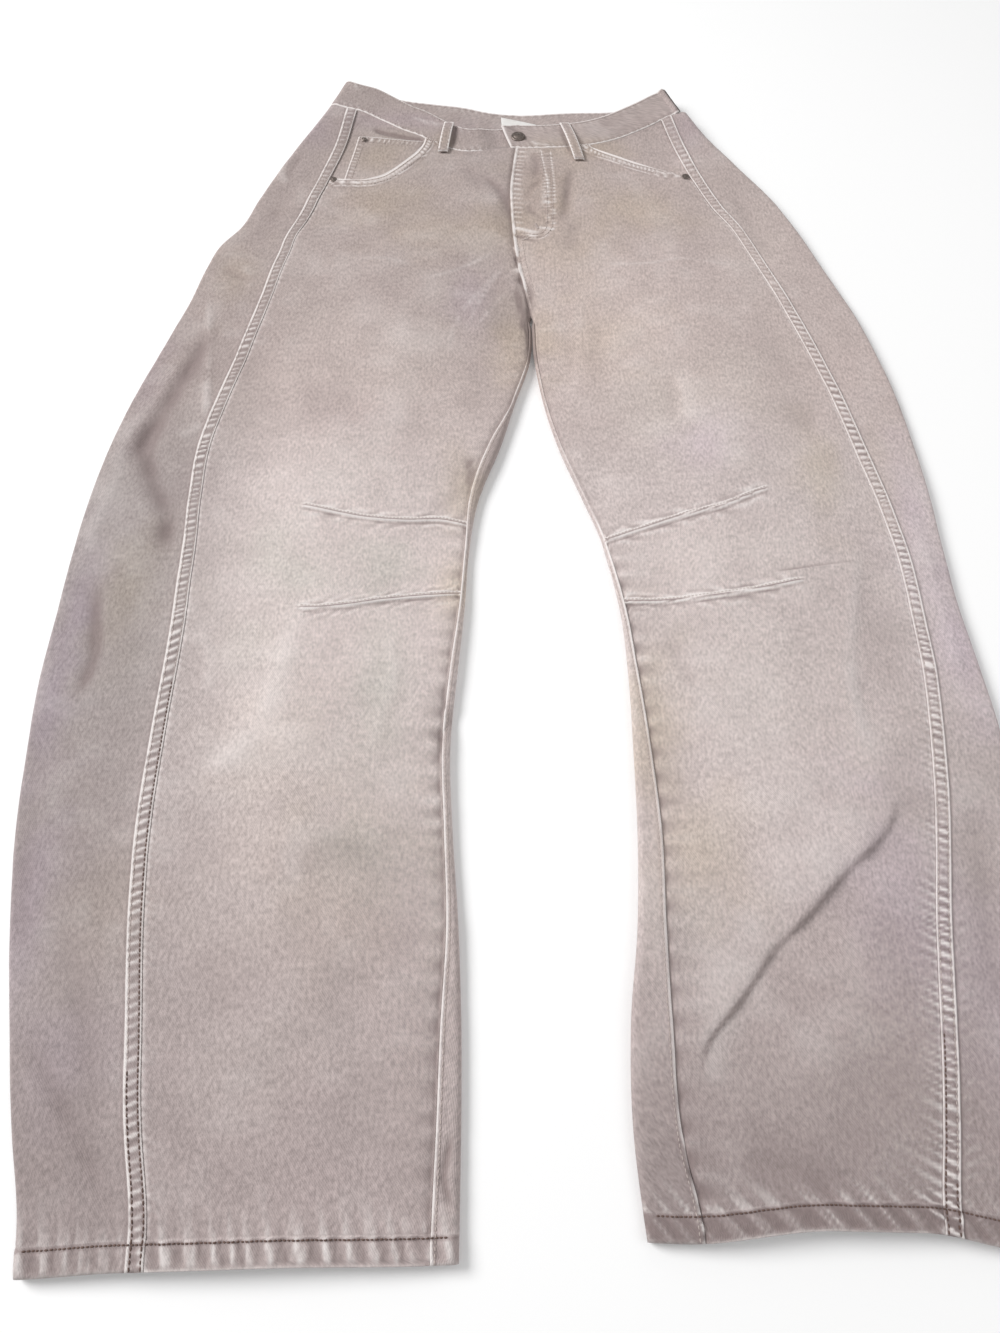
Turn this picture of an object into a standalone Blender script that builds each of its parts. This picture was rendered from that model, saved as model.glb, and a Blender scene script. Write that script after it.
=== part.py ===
# Barrel leg trousers in washed denim, laid flat on their back with the front up.
# Tables and sizes are in millimetres, and the model is in metres. +X is to the right and +Y is
# towards the waist, as seen from above. Left and right are as seen from the front.
# A point of a leg is placed by its distance from that leg's outer fold.
import math

import bmesh
import bpy
import numpy as np
from mathutils import Vector

MM = 0.001
OBJECT_NAME = "barrel_leg_trousers"

# Cloth
CLOTH = 1.2
BAND_CLOTH = 2.2
GAP = 0.3
INSEAM_GAP = 0.5
CROTCH_GAP = 1.6
CENTRE_GAP = 1.0
WAIST_GAP = 0.8
HIDDEN_GAP = 0.8

# Raised seams
SEAM_BAND = 10.0
SEAM_RISE = 0.8
SEAM_STEP = 1.2
STRIP_COLUMNS = 5
HEM_DEPTH = 14.5
HEM_RISE = 0.8
HEM_STEP = 1.5
DART_HALF = 4.0
DART_STEP = 1.3
DART_RISE = 1.1
DART_TIP = 0.08

# Crotch and waist
LEGS_MEET = 540.0
UNWRAP_LOW = 616.0
UNWRAP_HIGH = 640.0
SEAT_LOW = 645.0
SEAT_HIGH = 745.0
WAIST_BLEND = 700.0
WAIST_TOP = 914.0
SCOOP_ROW = 822.0
BAND_HEIGHT = 37.0
BAND_UNDER = 38.0
BAND_OVER_LOW = 8.0
BAND_OVER_HIGH = 18.0
BAND_SINK_START = 42.0
SWELL_POWER = 1.3

# Underside of a leg: how far the inner fold's columns reach while wrapped and while open
UNDER_REACH = 26.0
OPEN_REACH = 22.0
UNDER_COLUMNS = 5
FOLD_STEPS = 6
INNER_STEPS = 5

# Each leg from hem to waist: where its folds and seams cross, the fold's radius and the cloth's swell
STATION = ("y", "outer", "seam", "inseam", "inner", "fold", "crown")
LEFT_STATIONS = (
    (-90, -265, -197, -38, -22, 4.0, 5),
    (-60, -270, -200, -38, -22, 4.0, 6),
    (-20, -282, -209, -37, -22, 4.0, 7),
    (40, -298, -219, -36, -23, 4.0, 8),
    (100, -312, -228, -34, -26, 4.0, 9),
    (160, -322, -233, -37, -31, 4.0, 10),
    (220, -328, -234, -40, -34, 4.0, 10),
    (280, -331, -234, -37, -30, 4.0, 10),
    (330, -330, -235, -31.5, -26, 4.0, 10),
    (380, -329, -236, -28.5, -23.5, 4.0, 10),
    (430, -326, -238, -24, -16.5, 4.0, 10),
    (480, -320, -238, -10, 0, 4.0, 10),
    (530, -310, -229, 8.5, 13.5, 4.0, 10),
    (580, -297, -219, 22, 27, 4.0, 10),
    (640, -280, -208, 20, 26, 4.0, 10),
    (690, -269, -200, 10, 16, 4.0, 9),
    (712, -262, -195, 7, 13, 4.2, 9),
    (740, -244, -188, 5, 11, 4.5, 8),
    (780, -231, -177, 4, 10, 5.5, 5),
    (820, -216, -166, 7, 13, 6.5, 1),
    (860, -199, -157, 11, 17, 7.2, -3),
    (914, -175, -150, 13, 19, 8.0, -5),
    (956, -160, -142, 13, 19, 8.0, -5),
)
RIGHT_STATIONS = (
    (-80, 309, 249, 113, 82, 4.0, 5),
    (-60, 313, 251, 112, 80, 4.0, 6),
    (-20, 322, 258, 105, 77, 4.0, 7),
    (40, 333, 269, 104, 79, 4.0, 8),
    (100, 342, 279, 105, 87, 4.0, 9),
    (160, 348, 291, 107, 91, 4.0, 10),
    (220, 350, 300, 104, 92, 4.0, 10),
    (280, 347, 307, 99, 92, 4.0, 10),
    (330, 343, 308, 95, 89, 4.0, 10),
    (380, 342, 307, 84, 79, 4.0, 10),
    (430, 342, 302, 70, 64, 4.0, 10),
    (480, 340, 293, 54, 48, 4.0, 10),
    (530, 336, 282, 41, 36, 4.0, 10),
    (580, 327, 269, 34, 29, 4.0, 10),
    (640, 313, 252, 32, 26, 4.0, 10),
    (690, 296, 237, 22, 16, 4.0, 9),
    (740, 278, 221, 17, 11, 4.5, 8),
    (780, 260, 201, 16, 10, 5.5, 5),
    (820, 235, 186, 19, 13, 6.5, 1),
    (860, 211, 177, 23, 17, 7.2, -3),
    (903, 191, 168, 25, 19, 8.0, -5),
    (946, 175, 158, 25, 19, 8.0, -5),
)

# Waist seam: its height at the side fold, and how far it has dropped in front and behind, at shares of
# the way from the side fold to the centre
WAIST_SIDE = {"left": 914.0, "right": 903.0}
DROP = ("share", "front", "back")
WAIST_DROP = {
    "left": (
        (0.00, 0, 0), (0.10, 7, 2.5), (0.19, 12, 6), (0.29, 24, 10), (0.40, 38, 15), (0.48, 46, 17.5),
        (0.56, 57, 20), (0.63, 66, 22), (0.72, 72, 26), (0.80, 71, 31), (0.90, 67, 35), (1.00, 65, 36.5),
    ),
    "right": (
        (0.00, 0, 0), (0.08, 6.5, 4.5), (0.14, 12, 8.5), (0.22, 21, 14), (0.30, 29, 18.5), (0.42, 40, 21),
        (0.50, 46, 21.5), (0.58, 50, 21.5), (0.66, 52, 22), (0.76, 54, 23), (0.88, 55, 25), (1.00, 55, 26),
    ),
}

# The hem's edge lifts between two shares of the way from the outer fold, and settles higher up the leg
HEM_BOW = {
    "left": {"rise": 2.0, "start": 0.0, "full": 0.25, "ease": 0.55, "end": 0.95},
    "right": {"rise": 8.6, "start": 0.06, "full": 0.34, "ease": 0.55, "end": 0.92},
}
HEM_BOW_REACH = 100.0

# Largest folds in the cloth, as lines of (x, y): depth and width of a trough, and height and tail of a
# step up to the line's left
FOLDS = (
    {"line": ((110, -8), (117, 8), (125, 31), (148, 56), (171, 84), (192, 102), (221, 130), (253, 158), (268, 184),
              (272, 215)), "depth": -0.8, "width": 10.0, "step": 2.4, "edge": 6.0, "tail": 46.0},
    {"line": ((-286, 471), (-267, 427), (-252, 397), (-241, 363)),
     "depth": -2.0, "width": 12.0, "step": 0.8, "edge": 8.0, "tail": 30.0},
    {"line": ((-287, 35), (-263, 7), (-236, -27), (-218, -55)),
     "depth": -1.6, "width": 10.0, "step": -0.8, "edge": 6.0, "tail": 24.0},
)
FOLD_FADE = 26.0

# Rows of cloth from hem to waist, each at one height on the outer fold and another on the inner.
# A dart row runs along the middle of a knee dart.
LEFT_ROWS = (
    (-88, -81, "hem"), (-30, -25, ""), (20, 24, ""), (70, 73, ""), (120, 122, ""), (170, 173, ""),
    (220, 226, ""), (264, 283, ""), (299, 341, "dart"), (365, 372, ""), (431, 403, "dart"),
    (478, 452, ""), (522, 498, ""), (562, 540, ""), (600, 580, ""), (632, 616, ""),
    (656, 640, ""), (680, 668, ""), (716, 700, ""), (752, 726, ""), (788, 752, ""),
    (822, 780, ""), (852, 826, ""), (882, 870, ""), (914, 914, "waist"),
)
RIGHT_ROWS = (
    (-76, -71, "hem"), (-25, -22, ""), (0, 2, ""), (25, 26, ""), (50, 51, ""), (75, 75, ""),
    (100, 99, ""), (125, 123, ""), (150, 148, ""), (175, 172, ""), (200, 197, ""), (225, 222, ""),
    (285, 280, ""), (363, 332, "dart"), (424, 358, ""), (481, 386, "dart"),
    (515, 440, ""), (545, 490, ""), (575, 540, ""), (605, 580, ""), (634, 616, ""),
    (656, 640, ""), (680, 668, ""), (712, 700, ""), (746, 726, ""), (784, 752, ""),
    (822, 780, ""), (850, 826, ""), (877, 870, ""), (903, 914, "waist"),
)
# How far each knee dart reaches from the inseam towards the outer fold, as a share of the leg
DART_REACH = {"left": 0.44, "right": 0.54}

# Pocket scoops: points of the edge, from near the side seam up to the waist
SCOOP = {
    "left": ((-141, 800.5), (-128, 800), (-114, 804), (-103, 813), (-92, 826), (-82, 839), (-76, 853), (-74, 868)),
    "right": ((160, 814), (145, 819), (129, 825), (116, 832), (102, 840), (95, 845), (90, 850), (87, 860)),
}
SCOOP_ROWS = 8
SCOOP_STEP = 0.02
FACING_MARGIN = 14.0
FACING_START = 0.06
FACING_COLUMNS = 8

# Trims, each placed by its middle
COIN = {
    "left_low": -149.5, "left_high": -141.0, "top": 867.0, "top_fall": 8.5, "bottom": 811.5, "bottom_fall": 4.5,
    "edge": 4.0, "cloth": 1.0, "columns": 6, "rows": 8,
}
LOOPS = {
    "left": {"top": (-51.0, 886.0), "bottom": (-56.0, 838.0)},
    "right": {"top": (64.5, 886.0), "bottom": (77.5, 826.0)},
}
LOOP_WIDTH = 10.0
LOOP_CLOTH = 1.6
LOOP_STAND = 2.6
LOOP_STEPS = 6
LABEL_CORNERS = (((3.0, 873.0), (35.0, 873.0)), ((1.0, 910.0), (37.0, 898.0)))
LABEL_CLOTH = 0.8
SHIELD = {"under": 6.0, "over": 36.0, "bottom": 712.0, "rows": 6, "columns": 4}
BUTTON = {"at": (18.0, 866.0), "radius": 7.0, "height": 2.6}
RIVET_RADIUS = 4.0
RIVET_HEIGHT = 1.0
RIVETS = {"left": (-161.0, 800.5), "right": (179.3, 804.5)}
COIN_RIVET = (-135.0, 860.0)
COIN_RIVET_RADIUS = 3.0
TRIM_SEGMENTS = 20
TRIM_TOP = 0.72
RIM_STEPS = 8

FRONT_COLUMNS = 15
BAND_ROWS = 3
BAND_UNDER_COLUMNS = 20
BAND_BACK_COLUMNS = 17
BAND_OVER_COLUMNS = 16
SIGN = {"left": 1.0, "right": -1.0}
STATIONS = {"left": LEFT_STATIONS, "right": RIGHT_STATIONS}
ROWS = {"left": LEFT_ROWS, "right": RIGHT_ROWS}

DENIM = (0.52, 0.44, 0.42)
FACING = (0.40, 0.33, 0.31)
METAL = (0.30, 0.24, 0.20)
WHITE = (0.86, 0.85, 0.83)


# Small helpers

def mix(a, b, t):
    return a + (b - a) * t


def smooth(low, high, value):
    t = min(max((value - low) / (high - low), 0.0), 1.0)
    return t * t * (3.0 - 2.0 * t)


def curve_value(table, column, y):
    """Read one column of a station table at any height, along a smooth curve."""
    heights = np.array([row[0] for row in table], dtype=float)
    values = np.array([row[column] for row in table], dtype=float)
    slopes = np.gradient(values, heights)
    y = min(max(y, heights[0]), heights[-1])
    k = int(min(max(np.searchsorted(heights, y) - 1, 0), len(heights) - 2))
    step = heights[k + 1] - heights[k]
    t = (y - heights[k]) / step
    h00 = 2 * t ** 3 - 3 * t ** 2 + 1
    h10 = t ** 3 - 2 * t ** 2 + t
    h01 = 3 * t ** 2 - 2 * t ** 3
    h11 = t ** 3 - t ** 2
    return float(h00 * values[k] + h10 * step * slopes[k] + h01 * values[k + 1] + h11 * step * slopes[k + 1])


def station(side, name, y):
    return curve_value(STATIONS[side], STATION.index(name), y)


def line_point(line, x, y):
    """Distance to the left of a line, distance along it and its length, for the line's nearest point."""
    best = None
    run = 0.0
    for (ax, ay), (bx, by) in zip(line, line[1:]):
        dx, dy = bx - ax, by - ay
        length = math.hypot(dx, dy)
        t = min(max(((x - ax) * dx + (y - ay) * dy) / length ** 2, 0.0), 1.0)
        ox, oy = x - ax - t * dx, y - ay - t * dy
        distance = math.hypot(ox, oy)
        if best is None or distance < abs(best[0]):
            best = (math.copysign(distance, dx * oy - dy * ox), run + t * length)
        run += length
    return best[0], best[1], run


# The flattened tube

def reach(side, y):
    """Width of the cloth from the outer fold to the inner fold, or to the centre above the crotch."""
    return abs(station(side, "inner", y) - station(side, "outer", y)) - CENTRE_GAP / 2


def at(side, w, y):
    """The x of a point that lies w in from the outer fold."""
    return station(side, "outer", y) + SIGN[side] * w


def swell(side, w, y):
    """Height of the cloth's upper face at w in from the outer fold."""
    u = min(max(w / reach(side, y), 0.0), 1.0)
    leg = math.sin(math.pi * u) ** SWELL_POWER
    seat = math.sin(math.pi / 2 * u) ** SWELL_POWER
    share = smooth(SEAT_LOW, SEAT_HIGH, y)
    rise = station(side, "crown", y) * mix(leg, seat, share)
    return 2 * station(side, "fold", y) + rise + fold_rise(at(side, w, y), y)


def fold_rise(x, y):
    """Height that the largest folds add at a point of the plan."""
    rise = 0.0
    for fold in FOLDS:
        left, along_line, length = line_point(fold["line"], x, y)
        fade = smooth(0.0, FOLD_FADE, along_line) * smooth(0.0, FOLD_FADE, length - along_line)
        trough = fold["depth"] * math.exp(-(left / fold["width"]) ** 2)
        step = fold["step"] * left / math.hypot(left, fold["edge"]) * math.exp(-abs(left) / fold["tail"])
        rise += (trough + step) * fade
    return rise


def hem_bow(side, share, y):
    """How far the hem's bow lifts a point at a share of the way from the outer fold."""
    bow = HEM_BOW[side]
    hem = ROWS[side][0][0]
    shape = smooth(bow["start"], bow["full"], share) * (1.0 - smooth(bow["ease"], bow["end"], share))
    return bow["rise"] * shape * (1.0 - smooth(hem, hem + HEM_BOW_REACH, y))


def centre_line(y):
    return (station("left", "inner", y) + station("right", "inner", y)) / 2


def height(x, y):
    """Height of the upper face of the front at a point of the plan."""
    side = "left" if x < centre_line(y) else "right"
    return swell(side, abs(x - station(side, "outer", y)), y)


def waist_y(side, face, share):
    """Height of the waist seam at a share of the way from the side fold to the centre."""
    return WAIST_SIDE[side] - curve_value(WAIST_DROP[side], DROP.index(face), share)


def waist_seam(side, x):
    """Height of the front waist seam over a point of the plan."""
    top = WAIST_SIDE[side]
    return waist_y(side, "front", abs(x - station(side, "outer", top)) / reach(side, top))


def bend(side, face, w, y):
    """Move a point's height so that the topmost row follows the waist seam."""
    share = min(max(w / reach(side, y), 0.0), 1.0)
    top = mix(WAIST_SIDE[side], WAIST_TOP, share)
    return y + smooth(WAIST_BLEND, top, y) * (waist_y(side, face, share) - top) + hem_bow(side, share, y)


# Back panels: seam band, outer fold, underside and inner fold

def wrap_share(y):
    return 1.0 - smooth(UNWRAP_LOW, UNWRAP_HIGH, y)


def back_row(side, low, high, hem_rise):
    """One row of a back panel, as points of its outer face from the side seam to the inseam."""
    points = []

    def place(w, z, face):
        share = min(max(w / reach(side, low), 0.0), 1.0)
        y = mix(low, high, share)
        bent = bend(side, face, w, y)
        follow = station(side, "inner", bent) - station(side, "inner", y)
        points.append((at(side, w, y) + follow * share, bent, z))

    fold = station(side, "fold", low)
    seam = abs(station(side, "seam", low) - station(side, "outer", low)) + SEAM_BAND / 2
    for inset, rise in ((0.0, SEAM_RISE), (SEAM_BAND, SEAM_RISE), (SEAM_BAND + SEAM_STEP, 0.0)):
        w = seam - inset
        place(w, swell(side, w, low) + rise + hem_rise, "front")
    strip = seam - SEAM_BAND - SEAM_STEP
    for k in range(1, STRIP_COLUMNS):
        w = mix(strip, fold, k / STRIP_COLUMNS)
        place(w, swell(side, w, low) + hem_rise, "front")
    for k in range(FOLD_STEPS + 1):
        angle = math.radians(90 + 180 / FOLD_STEPS * k)
        face = "front" if k < FOLD_STEPS / 2 else "back"
        place(fold + fold * math.cos(angle), fold + fold * math.sin(angle), face)
    wide = reach(side, high)
    for k in range(1, UNDER_COLUMNS + 1):
        place(mix(fold, wide - UNDER_REACH, k / UNDER_COLUMNS), 0.0, "back")
    wrapped = []
    for k in range(INNER_STEPS + 1):
        angle = math.radians(-90 + 180 / INNER_STEPS * k)
        wrapped.append((wide - fold + fold * math.cos(angle), fold + fold * math.sin(angle)))
    inseam = abs(station(side, "inseam", high) - station(side, "outer", high))
    for k in (1, 2):
        w = mix(wide - fold, min(inseam, wide - fold - 1.0), k / 2)
        wrapped.append((w, swell(side, w, high) + hem_rise))
    share = wrap_share(high)
    for k, (w, z) in enumerate(wrapped):
        open_w = wide - OPEN_REACH * (1 - k / (len(wrapped) - 1))
        place(mix(open_w, w, share), mix(0.0, z, share), "back")
    return points


def hem_rows(side):
    """The rows of a panel with the turned hem's step: heights on both folds and the rise."""
    rows = []
    for low, high, kind in ROWS[side]:
        if kind == "hem":
            rows.append((low, high, HEM_RISE))
            rows.append((low + HEM_DEPTH, high + HEM_DEPTH, HEM_RISE))
            rows.append((low + HEM_DEPTH + HEM_STEP, high + HEM_DEPTH + HEM_STEP, 0.0))
        else:
            rows.append((low, high, 0.0))
    return rows


def back_grid(side):
    return [back_row(side, low, high, rise) for low, high, rise in hem_rows(side)]


# Front panels: their edges follow the back panels' edges row by row

def edge_line(side):
    """Where the back panel's two edges lie at each of its rows."""
    grid = back_grid(side)
    rows = hem_rows(side)
    outer = [(low, row[0]) for (low, high, rise), row in zip(rows, grid)]
    inner = []
    for (low, high, rise), row in zip(rows, grid):
        bent = bend(side, "front", reach(side, high), high)
        middle = station(side, "inner", bent) - SIGN[side] * CENTRE_GAP / 2
        share = wrap_share(high)
        gap = mix(INSEAM_GAP, CROTCH_GAP, smooth(LEGS_MEET, UNWRAP_LOW, high))
        x = mix(middle, row[-1][0] - SIGN[side] * gap, share)
        inner.append((high, (x, mix(bent, row[-1][1], share))))
    return outer, inner


def along(line, y):
    """A point of an edge line at any height, straight between its rows."""
    heights = [entry[0] for entry in line]
    x = float(np.interp(y, heights, [entry[1][0] for entry in line]))
    return x, float(np.interp(y, heights, [entry[1][1] for entry in line]))


def scoop_point(side, share, margin=0.0):
    """A point of the pocket scoop, from the side seam to the waist seam."""
    edge = np.array(SCOOP[side], dtype=float)
    shares = np.linspace(0.0, 1.0, len(edge))

    def on_edge(value):
        return Vector((np.interp(value, shares, edge[:, 0]), np.interp(value, shares, edge[:, 1])))

    ahead = on_edge(share + SCOOP_STEP) - on_edge(share - SCOOP_STEP)
    out = Vector((ahead.y, -ahead.x)).normalized() * SIGN[side]
    point = on_edge(share) + out * margin
    return point.x, min(point.y, waist_seam(side, point.x))


def front_row(side, start, end, hem_rise=0.0, dart_rise=0.0, waist_share=0.0):
    points = []
    crest = scoop_point(side, 1.0)

    def bow(x, y):
        return hem_bow(side, abs(x - station(side, "outer", y)) / reach(side, y), y)

    for k in range(FRONT_COLUMNS + 1):
        t = k / FRONT_COLUMNS
        x = mix(start[0], end[0], t)
        chord = mix(crest[1], waist_y(side, "front", 1.0), t)
        y = mix(start[1] - bow(*start), end[1] - bow(*end), t)
        y += bow(x, y) + waist_share ** 2 * (waist_seam(side, x) - chord)
        w = abs(x - station(side, "outer", y))
        tip = 1.0 - DART_REACH[side]
        fade = smooth(tip, tip + DART_TIP, w / reach(side, y))
        points.append((x, y, swell(side, w, y) + hem_rise + dart_rise * fade))
    return points


def front_grid(side):
    outer, inner = edge_line(side)
    darts = [low for low, high, kind in ROWS[side] if kind == "dart"]
    grid = []
    for low, high, rise in hem_rows(side):
        if low > SCOOP_ROW:
            continue
        steps = ((0.0, 0.0),)
        if low in darts:
            outside = DART_HALF + DART_STEP
            steps = ((-outside, 0.0), (-DART_HALF, DART_RISE), (DART_HALF, DART_RISE), (outside, 0.0))
        for move, dart_rise in steps:
            start = along(outer, low + move)
            start = (start[0] + SIGN[side] * GAP, start[1])
            grid.append(front_row(side, start, along(inner, high + move), rise, dart_rise))
    scoop_low = [high for low, high, kind in ROWS[side] if low == SCOOP_ROW][0]
    for k in range(SCOOP_ROWS):
        share = k / (SCOOP_ROWS - 1)
        end = along(inner, mix(scoop_low, WAIST_TOP, (k + 1) / SCOOP_ROWS))
        grid.append(front_row(side, scoop_point(side, share), end, waist_share=share))
    return grid


# Pockets

def facing_grid(side):
    """The cloth behind the scoop, one wall and a gap below the front panel."""
    outer, inner = edge_line(side)
    heights = [SCOOP_ROW - FACING_MARGIN] + [low for low, high, kind in ROWS[side] if low >= SCOOP_ROW]
    grid = []
    for row, low in enumerate(heights):
        start = along(outer, low)
        start = (start[0] + SIGN[side] * GAP, start[1])
        share = row / (len(heights) - 1)
        end = scoop_point(side, mix(FACING_START, 1.0, share), FACING_MARGIN)
        end = (end[0], mix(end[1], waist_seam(side, end[0]), smooth(0.8, 1.0, share)))
        points = []
        for k in range(FACING_COLUMNS + 1):
            x = mix(start[0], end[0], k / FACING_COLUMNS)
            y = mix(start[1], end[1], k / FACING_COLUMNS)
            y = min(y, waist_seam(side, x) - GAP)
            w = abs(x - station(side, "outer", y))
            points.append((x, y, swell(side, w, y) - CLOTH - GAP))
        grid.append(points)
    return grid


def coin_grid():
    """The coin pocket, laid on the left facing up to the scoop's edge."""
    rising = SCOOP["left"][1:]
    grid = []
    for row in range(COIN["rows"]):
        v = row / (COIN["rows"] - 1)
        points = []
        for k in range(COIN["columns"] + 1):
            u = k / COIN["columns"]
            y = mix(COIN["bottom"] - COIN["bottom_fall"] * u, COIN["top"] - COIN["top_fall"] * u, v)
            edge = float(np.interp(y, [point[1] for point in rising], [point[0] for point in rising]))
            x = mix(mix(COIN["left_low"], COIN["left_high"], v), edge - COIN["edge"], u)
            points.append((x, y, height(x, y) - CLOTH + COIN["cloth"]))
        grid.append(points)
    return grid


# Waistband

def band_grid():
    """The waistband's outer face, from its under end in front, round the back, to its upper end."""
    grid = []
    for row in range(BAND_ROWS + 1):
        points = []
        rise = WAIST_GAP + row / BAND_ROWS * BAND_HEIGHT
        side_y = {side: WAIST_SIDE[side] + rise for side in WAIST_SIDE}
        outer = {side: station(side, "outer", side_y[side]) for side in WAIST_SIDE}
        fold = station("left", "fold", side_y["left"])
        middle = centre_line(WAIST_TOP)
        over = mix(BAND_OVER_LOW, BAND_OVER_HIGH, row / BAND_ROWS)

        def seam_height(x, face):
            side = "left" if x < middle else "right"
            return waist_y(side, face, abs(x - outer[side]) / abs(middle - outer[side])) + rise

        def front_point(x, under):
            y = seam_height(x, "front")
            sink = under * smooth(middle - BAND_SINK_START, middle - BAND_OVER_HIGH - BAND_CLOTH, x)
            z = height(x, y) - sink * (BAND_CLOTH + GAP)
            points.append((x, y, z))

        def fold_points(side, first):
            for k in range(FOLD_STEPS + 1):
                angle = math.radians(first + 180 / FOLD_STEPS * k)
                x = outer[side] + SIGN[side] * (fold + fold * math.cos(angle))
                z = fold + fold * math.sin(angle)
                points.append((x, seam_height(x, "front" if z > fold else "back"), z))

        clear = 2 * fold
        for x in np.linspace(middle + BAND_UNDER, outer["left"] + clear, BAND_UNDER_COLUMNS):
            front_point(float(x), 1.0)
        fold_points("left", 90)
        for x in np.linspace(outer["left"] + clear, outer["right"] - clear, BAND_BACK_COLUMNS):
            points.append((float(x), seam_height(x, "back"), 0.0))
        fold_points("right", 270)
        for x in np.linspace(outer["right"] - clear, middle - over, BAND_OVER_COLUMNS):
            front_point(float(x), 0.0)
        grid.append(points)
    return grid


def loop_grid(side):
    top = LOOPS[side]["top"]
    bottom = LOOPS[side]["bottom"]
    half = LOOP_WIDTH / 2
    grid = []
    for row in range(LOOP_STEPS + 1):
        t = row / LOOP_STEPS
        x = mix(bottom[0], top[0], t)
        y = mix(bottom[1], top[1], t)
        stand = LOOP_STAND * math.sin(math.pi * t)
        z = max(height(x - half, y), height(x + half, y)) + GAP + LOOP_CLOTH + stand
        grid.append([(x - half, y, z), (x + half, y, z)])
    return grid


def label_grid():
    z = BAND_CLOTH + GAP + LABEL_CLOTH
    return [[(x, y, z) for x, y in row] for row in LABEL_CORNERS]


def shield_grid():
    grid = []
    top = waist_y("left", "front", 1.0) - HIDDEN_GAP
    for row in range(SHIELD["rows"] + 1):
        y = mix(SHIELD["bottom"], top, row / SHIELD["rows"])
        middle = centre_line(y)
        points = []
        for k in range(SHIELD["columns"] + 1):
            x = mix(middle - SHIELD["under"], middle + SHIELD["over"], k / SHIELD["columns"])
            points.append((x, y, height(x, y) - CLOTH - HIDDEN_GAP))
        grid.append(points)
    return grid


# Making the objects

def material(name, colour, roughness, metallic):
    made = bpy.data.materials.new(name)
    made.use_nodes = True
    shader = made.node_tree.nodes["Principled BSDF"]
    shader.inputs["Base Color"].default_value = (*colour, 1.0)
    shader.inputs["Roughness"].default_value = roughness
    shader.inputs["Metallic"].default_value = metallic
    return made


def add_object(name, mesh, collection, colour, roughness=0.9, metallic=0.0):
    mesh.materials.append(material(name, colour, roughness, metallic))
    made = bpy.data.objects.new(name, mesh)
    collection.objects.link(made)
    return made


def cloth(name, grid, thickness, flip, collection, colour):
    """Loft a wall of cloth through rows of points, which lie on its outer face."""
    bm = bmesh.new()
    verts = [[bm.verts.new(Vector(point) * MM) for point in row] for row in grid]
    for low, high in zip(verts, verts[1:]):
        for k in range(len(low) - 1):
            face = [low[k], low[k + 1], high[k + 1], high[k]]
            bm.faces.new(reversed(face) if flip else face)
    mesh = bpy.data.meshes.new(name)
    bm.to_mesh(mesh)
    bm.free()
    made = add_object(name, mesh, collection, colour)
    wall = made.modifiers.new("wall", "SOLIDIFY")
    wall.thickness = thickness * MM
    wall.offset = -1.0
    wall.use_even_offset = False
    return made


def rim_height(x, y, radius):
    """Highest point of the cloth under a round trim."""
    turns = np.linspace(0, 2 * math.pi, RIM_STEPS + 1)
    rim = [(x + radius * math.cos(a), y + radius * math.sin(a)) for a in turns]
    return max(height(px, py) for px, py in rim)


def disc(name, x, y, z, radius, tall, collection):
    """A round metal trim with a smaller top, standing a gap above the cloth."""
    bm = bmesh.new()
    bmesh.ops.create_cone(bm, cap_ends=True, segments=TRIM_SEGMENTS, radius1=radius * MM,
                          radius2=radius * TRIM_TOP * MM, depth=tall * MM)
    bmesh.ops.translate(bm, verts=bm.verts, vec=Vector((x, y, z + GAP + tall / 2)) * MM)
    mesh = bpy.data.meshes.new(name)
    bm.to_mesh(mesh)
    bm.free()
    return add_object(name, mesh, collection, METAL, 0.45, 0.9)


def centre_on_box(objects):
    """Move every mesh so that the origin is under the middle of the whole box."""
    corners = [vertex.co for made in objects for vertex in made.data.vertices]
    low = [min(corner[k] for corner in corners) for k in range(3)]
    high = [max(corner[k] for corner in corners) for k in range(3)]
    shift = Vector((-(low[0] + high[0]) / 2, -(low[1] + high[1]) / 2, -low[2]))
    for made in objects:
        for vertex in made.data.vertices:
            vertex.co += shift


def build():
    for old in list(bpy.data.objects):
        bpy.data.objects.remove(old, do_unlink=True)
    parts = bpy.data.collections.new(OBJECT_NAME)
    bpy.context.scene.collection.children.link(parts)
    objects = []
    for side in ("left", "right"):
        left = side == "left"
        objects.append(cloth("back_" + side, back_grid(side), CLOTH, left, parts, DENIM))
        objects.append(cloth("front_" + side, front_grid(side), CLOTH, not left, parts, DENIM))
        objects.append(cloth("pocket_facing_" + side, facing_grid(side), CLOTH, not left, parts, FACING))
        objects.append(cloth("belt_loop_" + side, loop_grid(side), LOOP_CLOTH, False, parts, DENIM))
    objects.append(cloth("waistband", band_grid(), BAND_CLOTH, True, parts, DENIM))
    objects.append(cloth("coin_pocket", coin_grid(), COIN["cloth"], False, parts, DENIM))
    objects.append(cloth("label", label_grid(), LABEL_CLOTH, False, parts, WHITE))
    objects.append(cloth("fly_shield", shield_grid(), CLOTH, False, parts, FACING))

    x, y = BUTTON["at"]
    z = rim_height(x, y, BUTTON["radius"])
    objects.append(disc("button", x, y, z, BUTTON["radius"], BUTTON["height"], parts))
    for side, (x, y) in RIVETS.items():
        z = rim_height(x, y, RIVET_RADIUS)
        objects.append(disc("rivet_" + side, x, y, z, RIVET_RADIUS, RIVET_HEIGHT, parts))
    x, y = COIN_RIVET
    z = rim_height(x, y, COIN_RIVET_RADIUS) - CLOTH + COIN["cloth"]
    objects.append(disc("rivet_coin", x, y, z, COIN_RIVET_RADIUS, RIVET_HEIGHT, parts))
    centre_on_box(objects)


build()
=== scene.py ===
import math

import bpy
import numpy as np
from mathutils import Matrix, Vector
from mathutils.bvhtree import BVHTree


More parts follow.
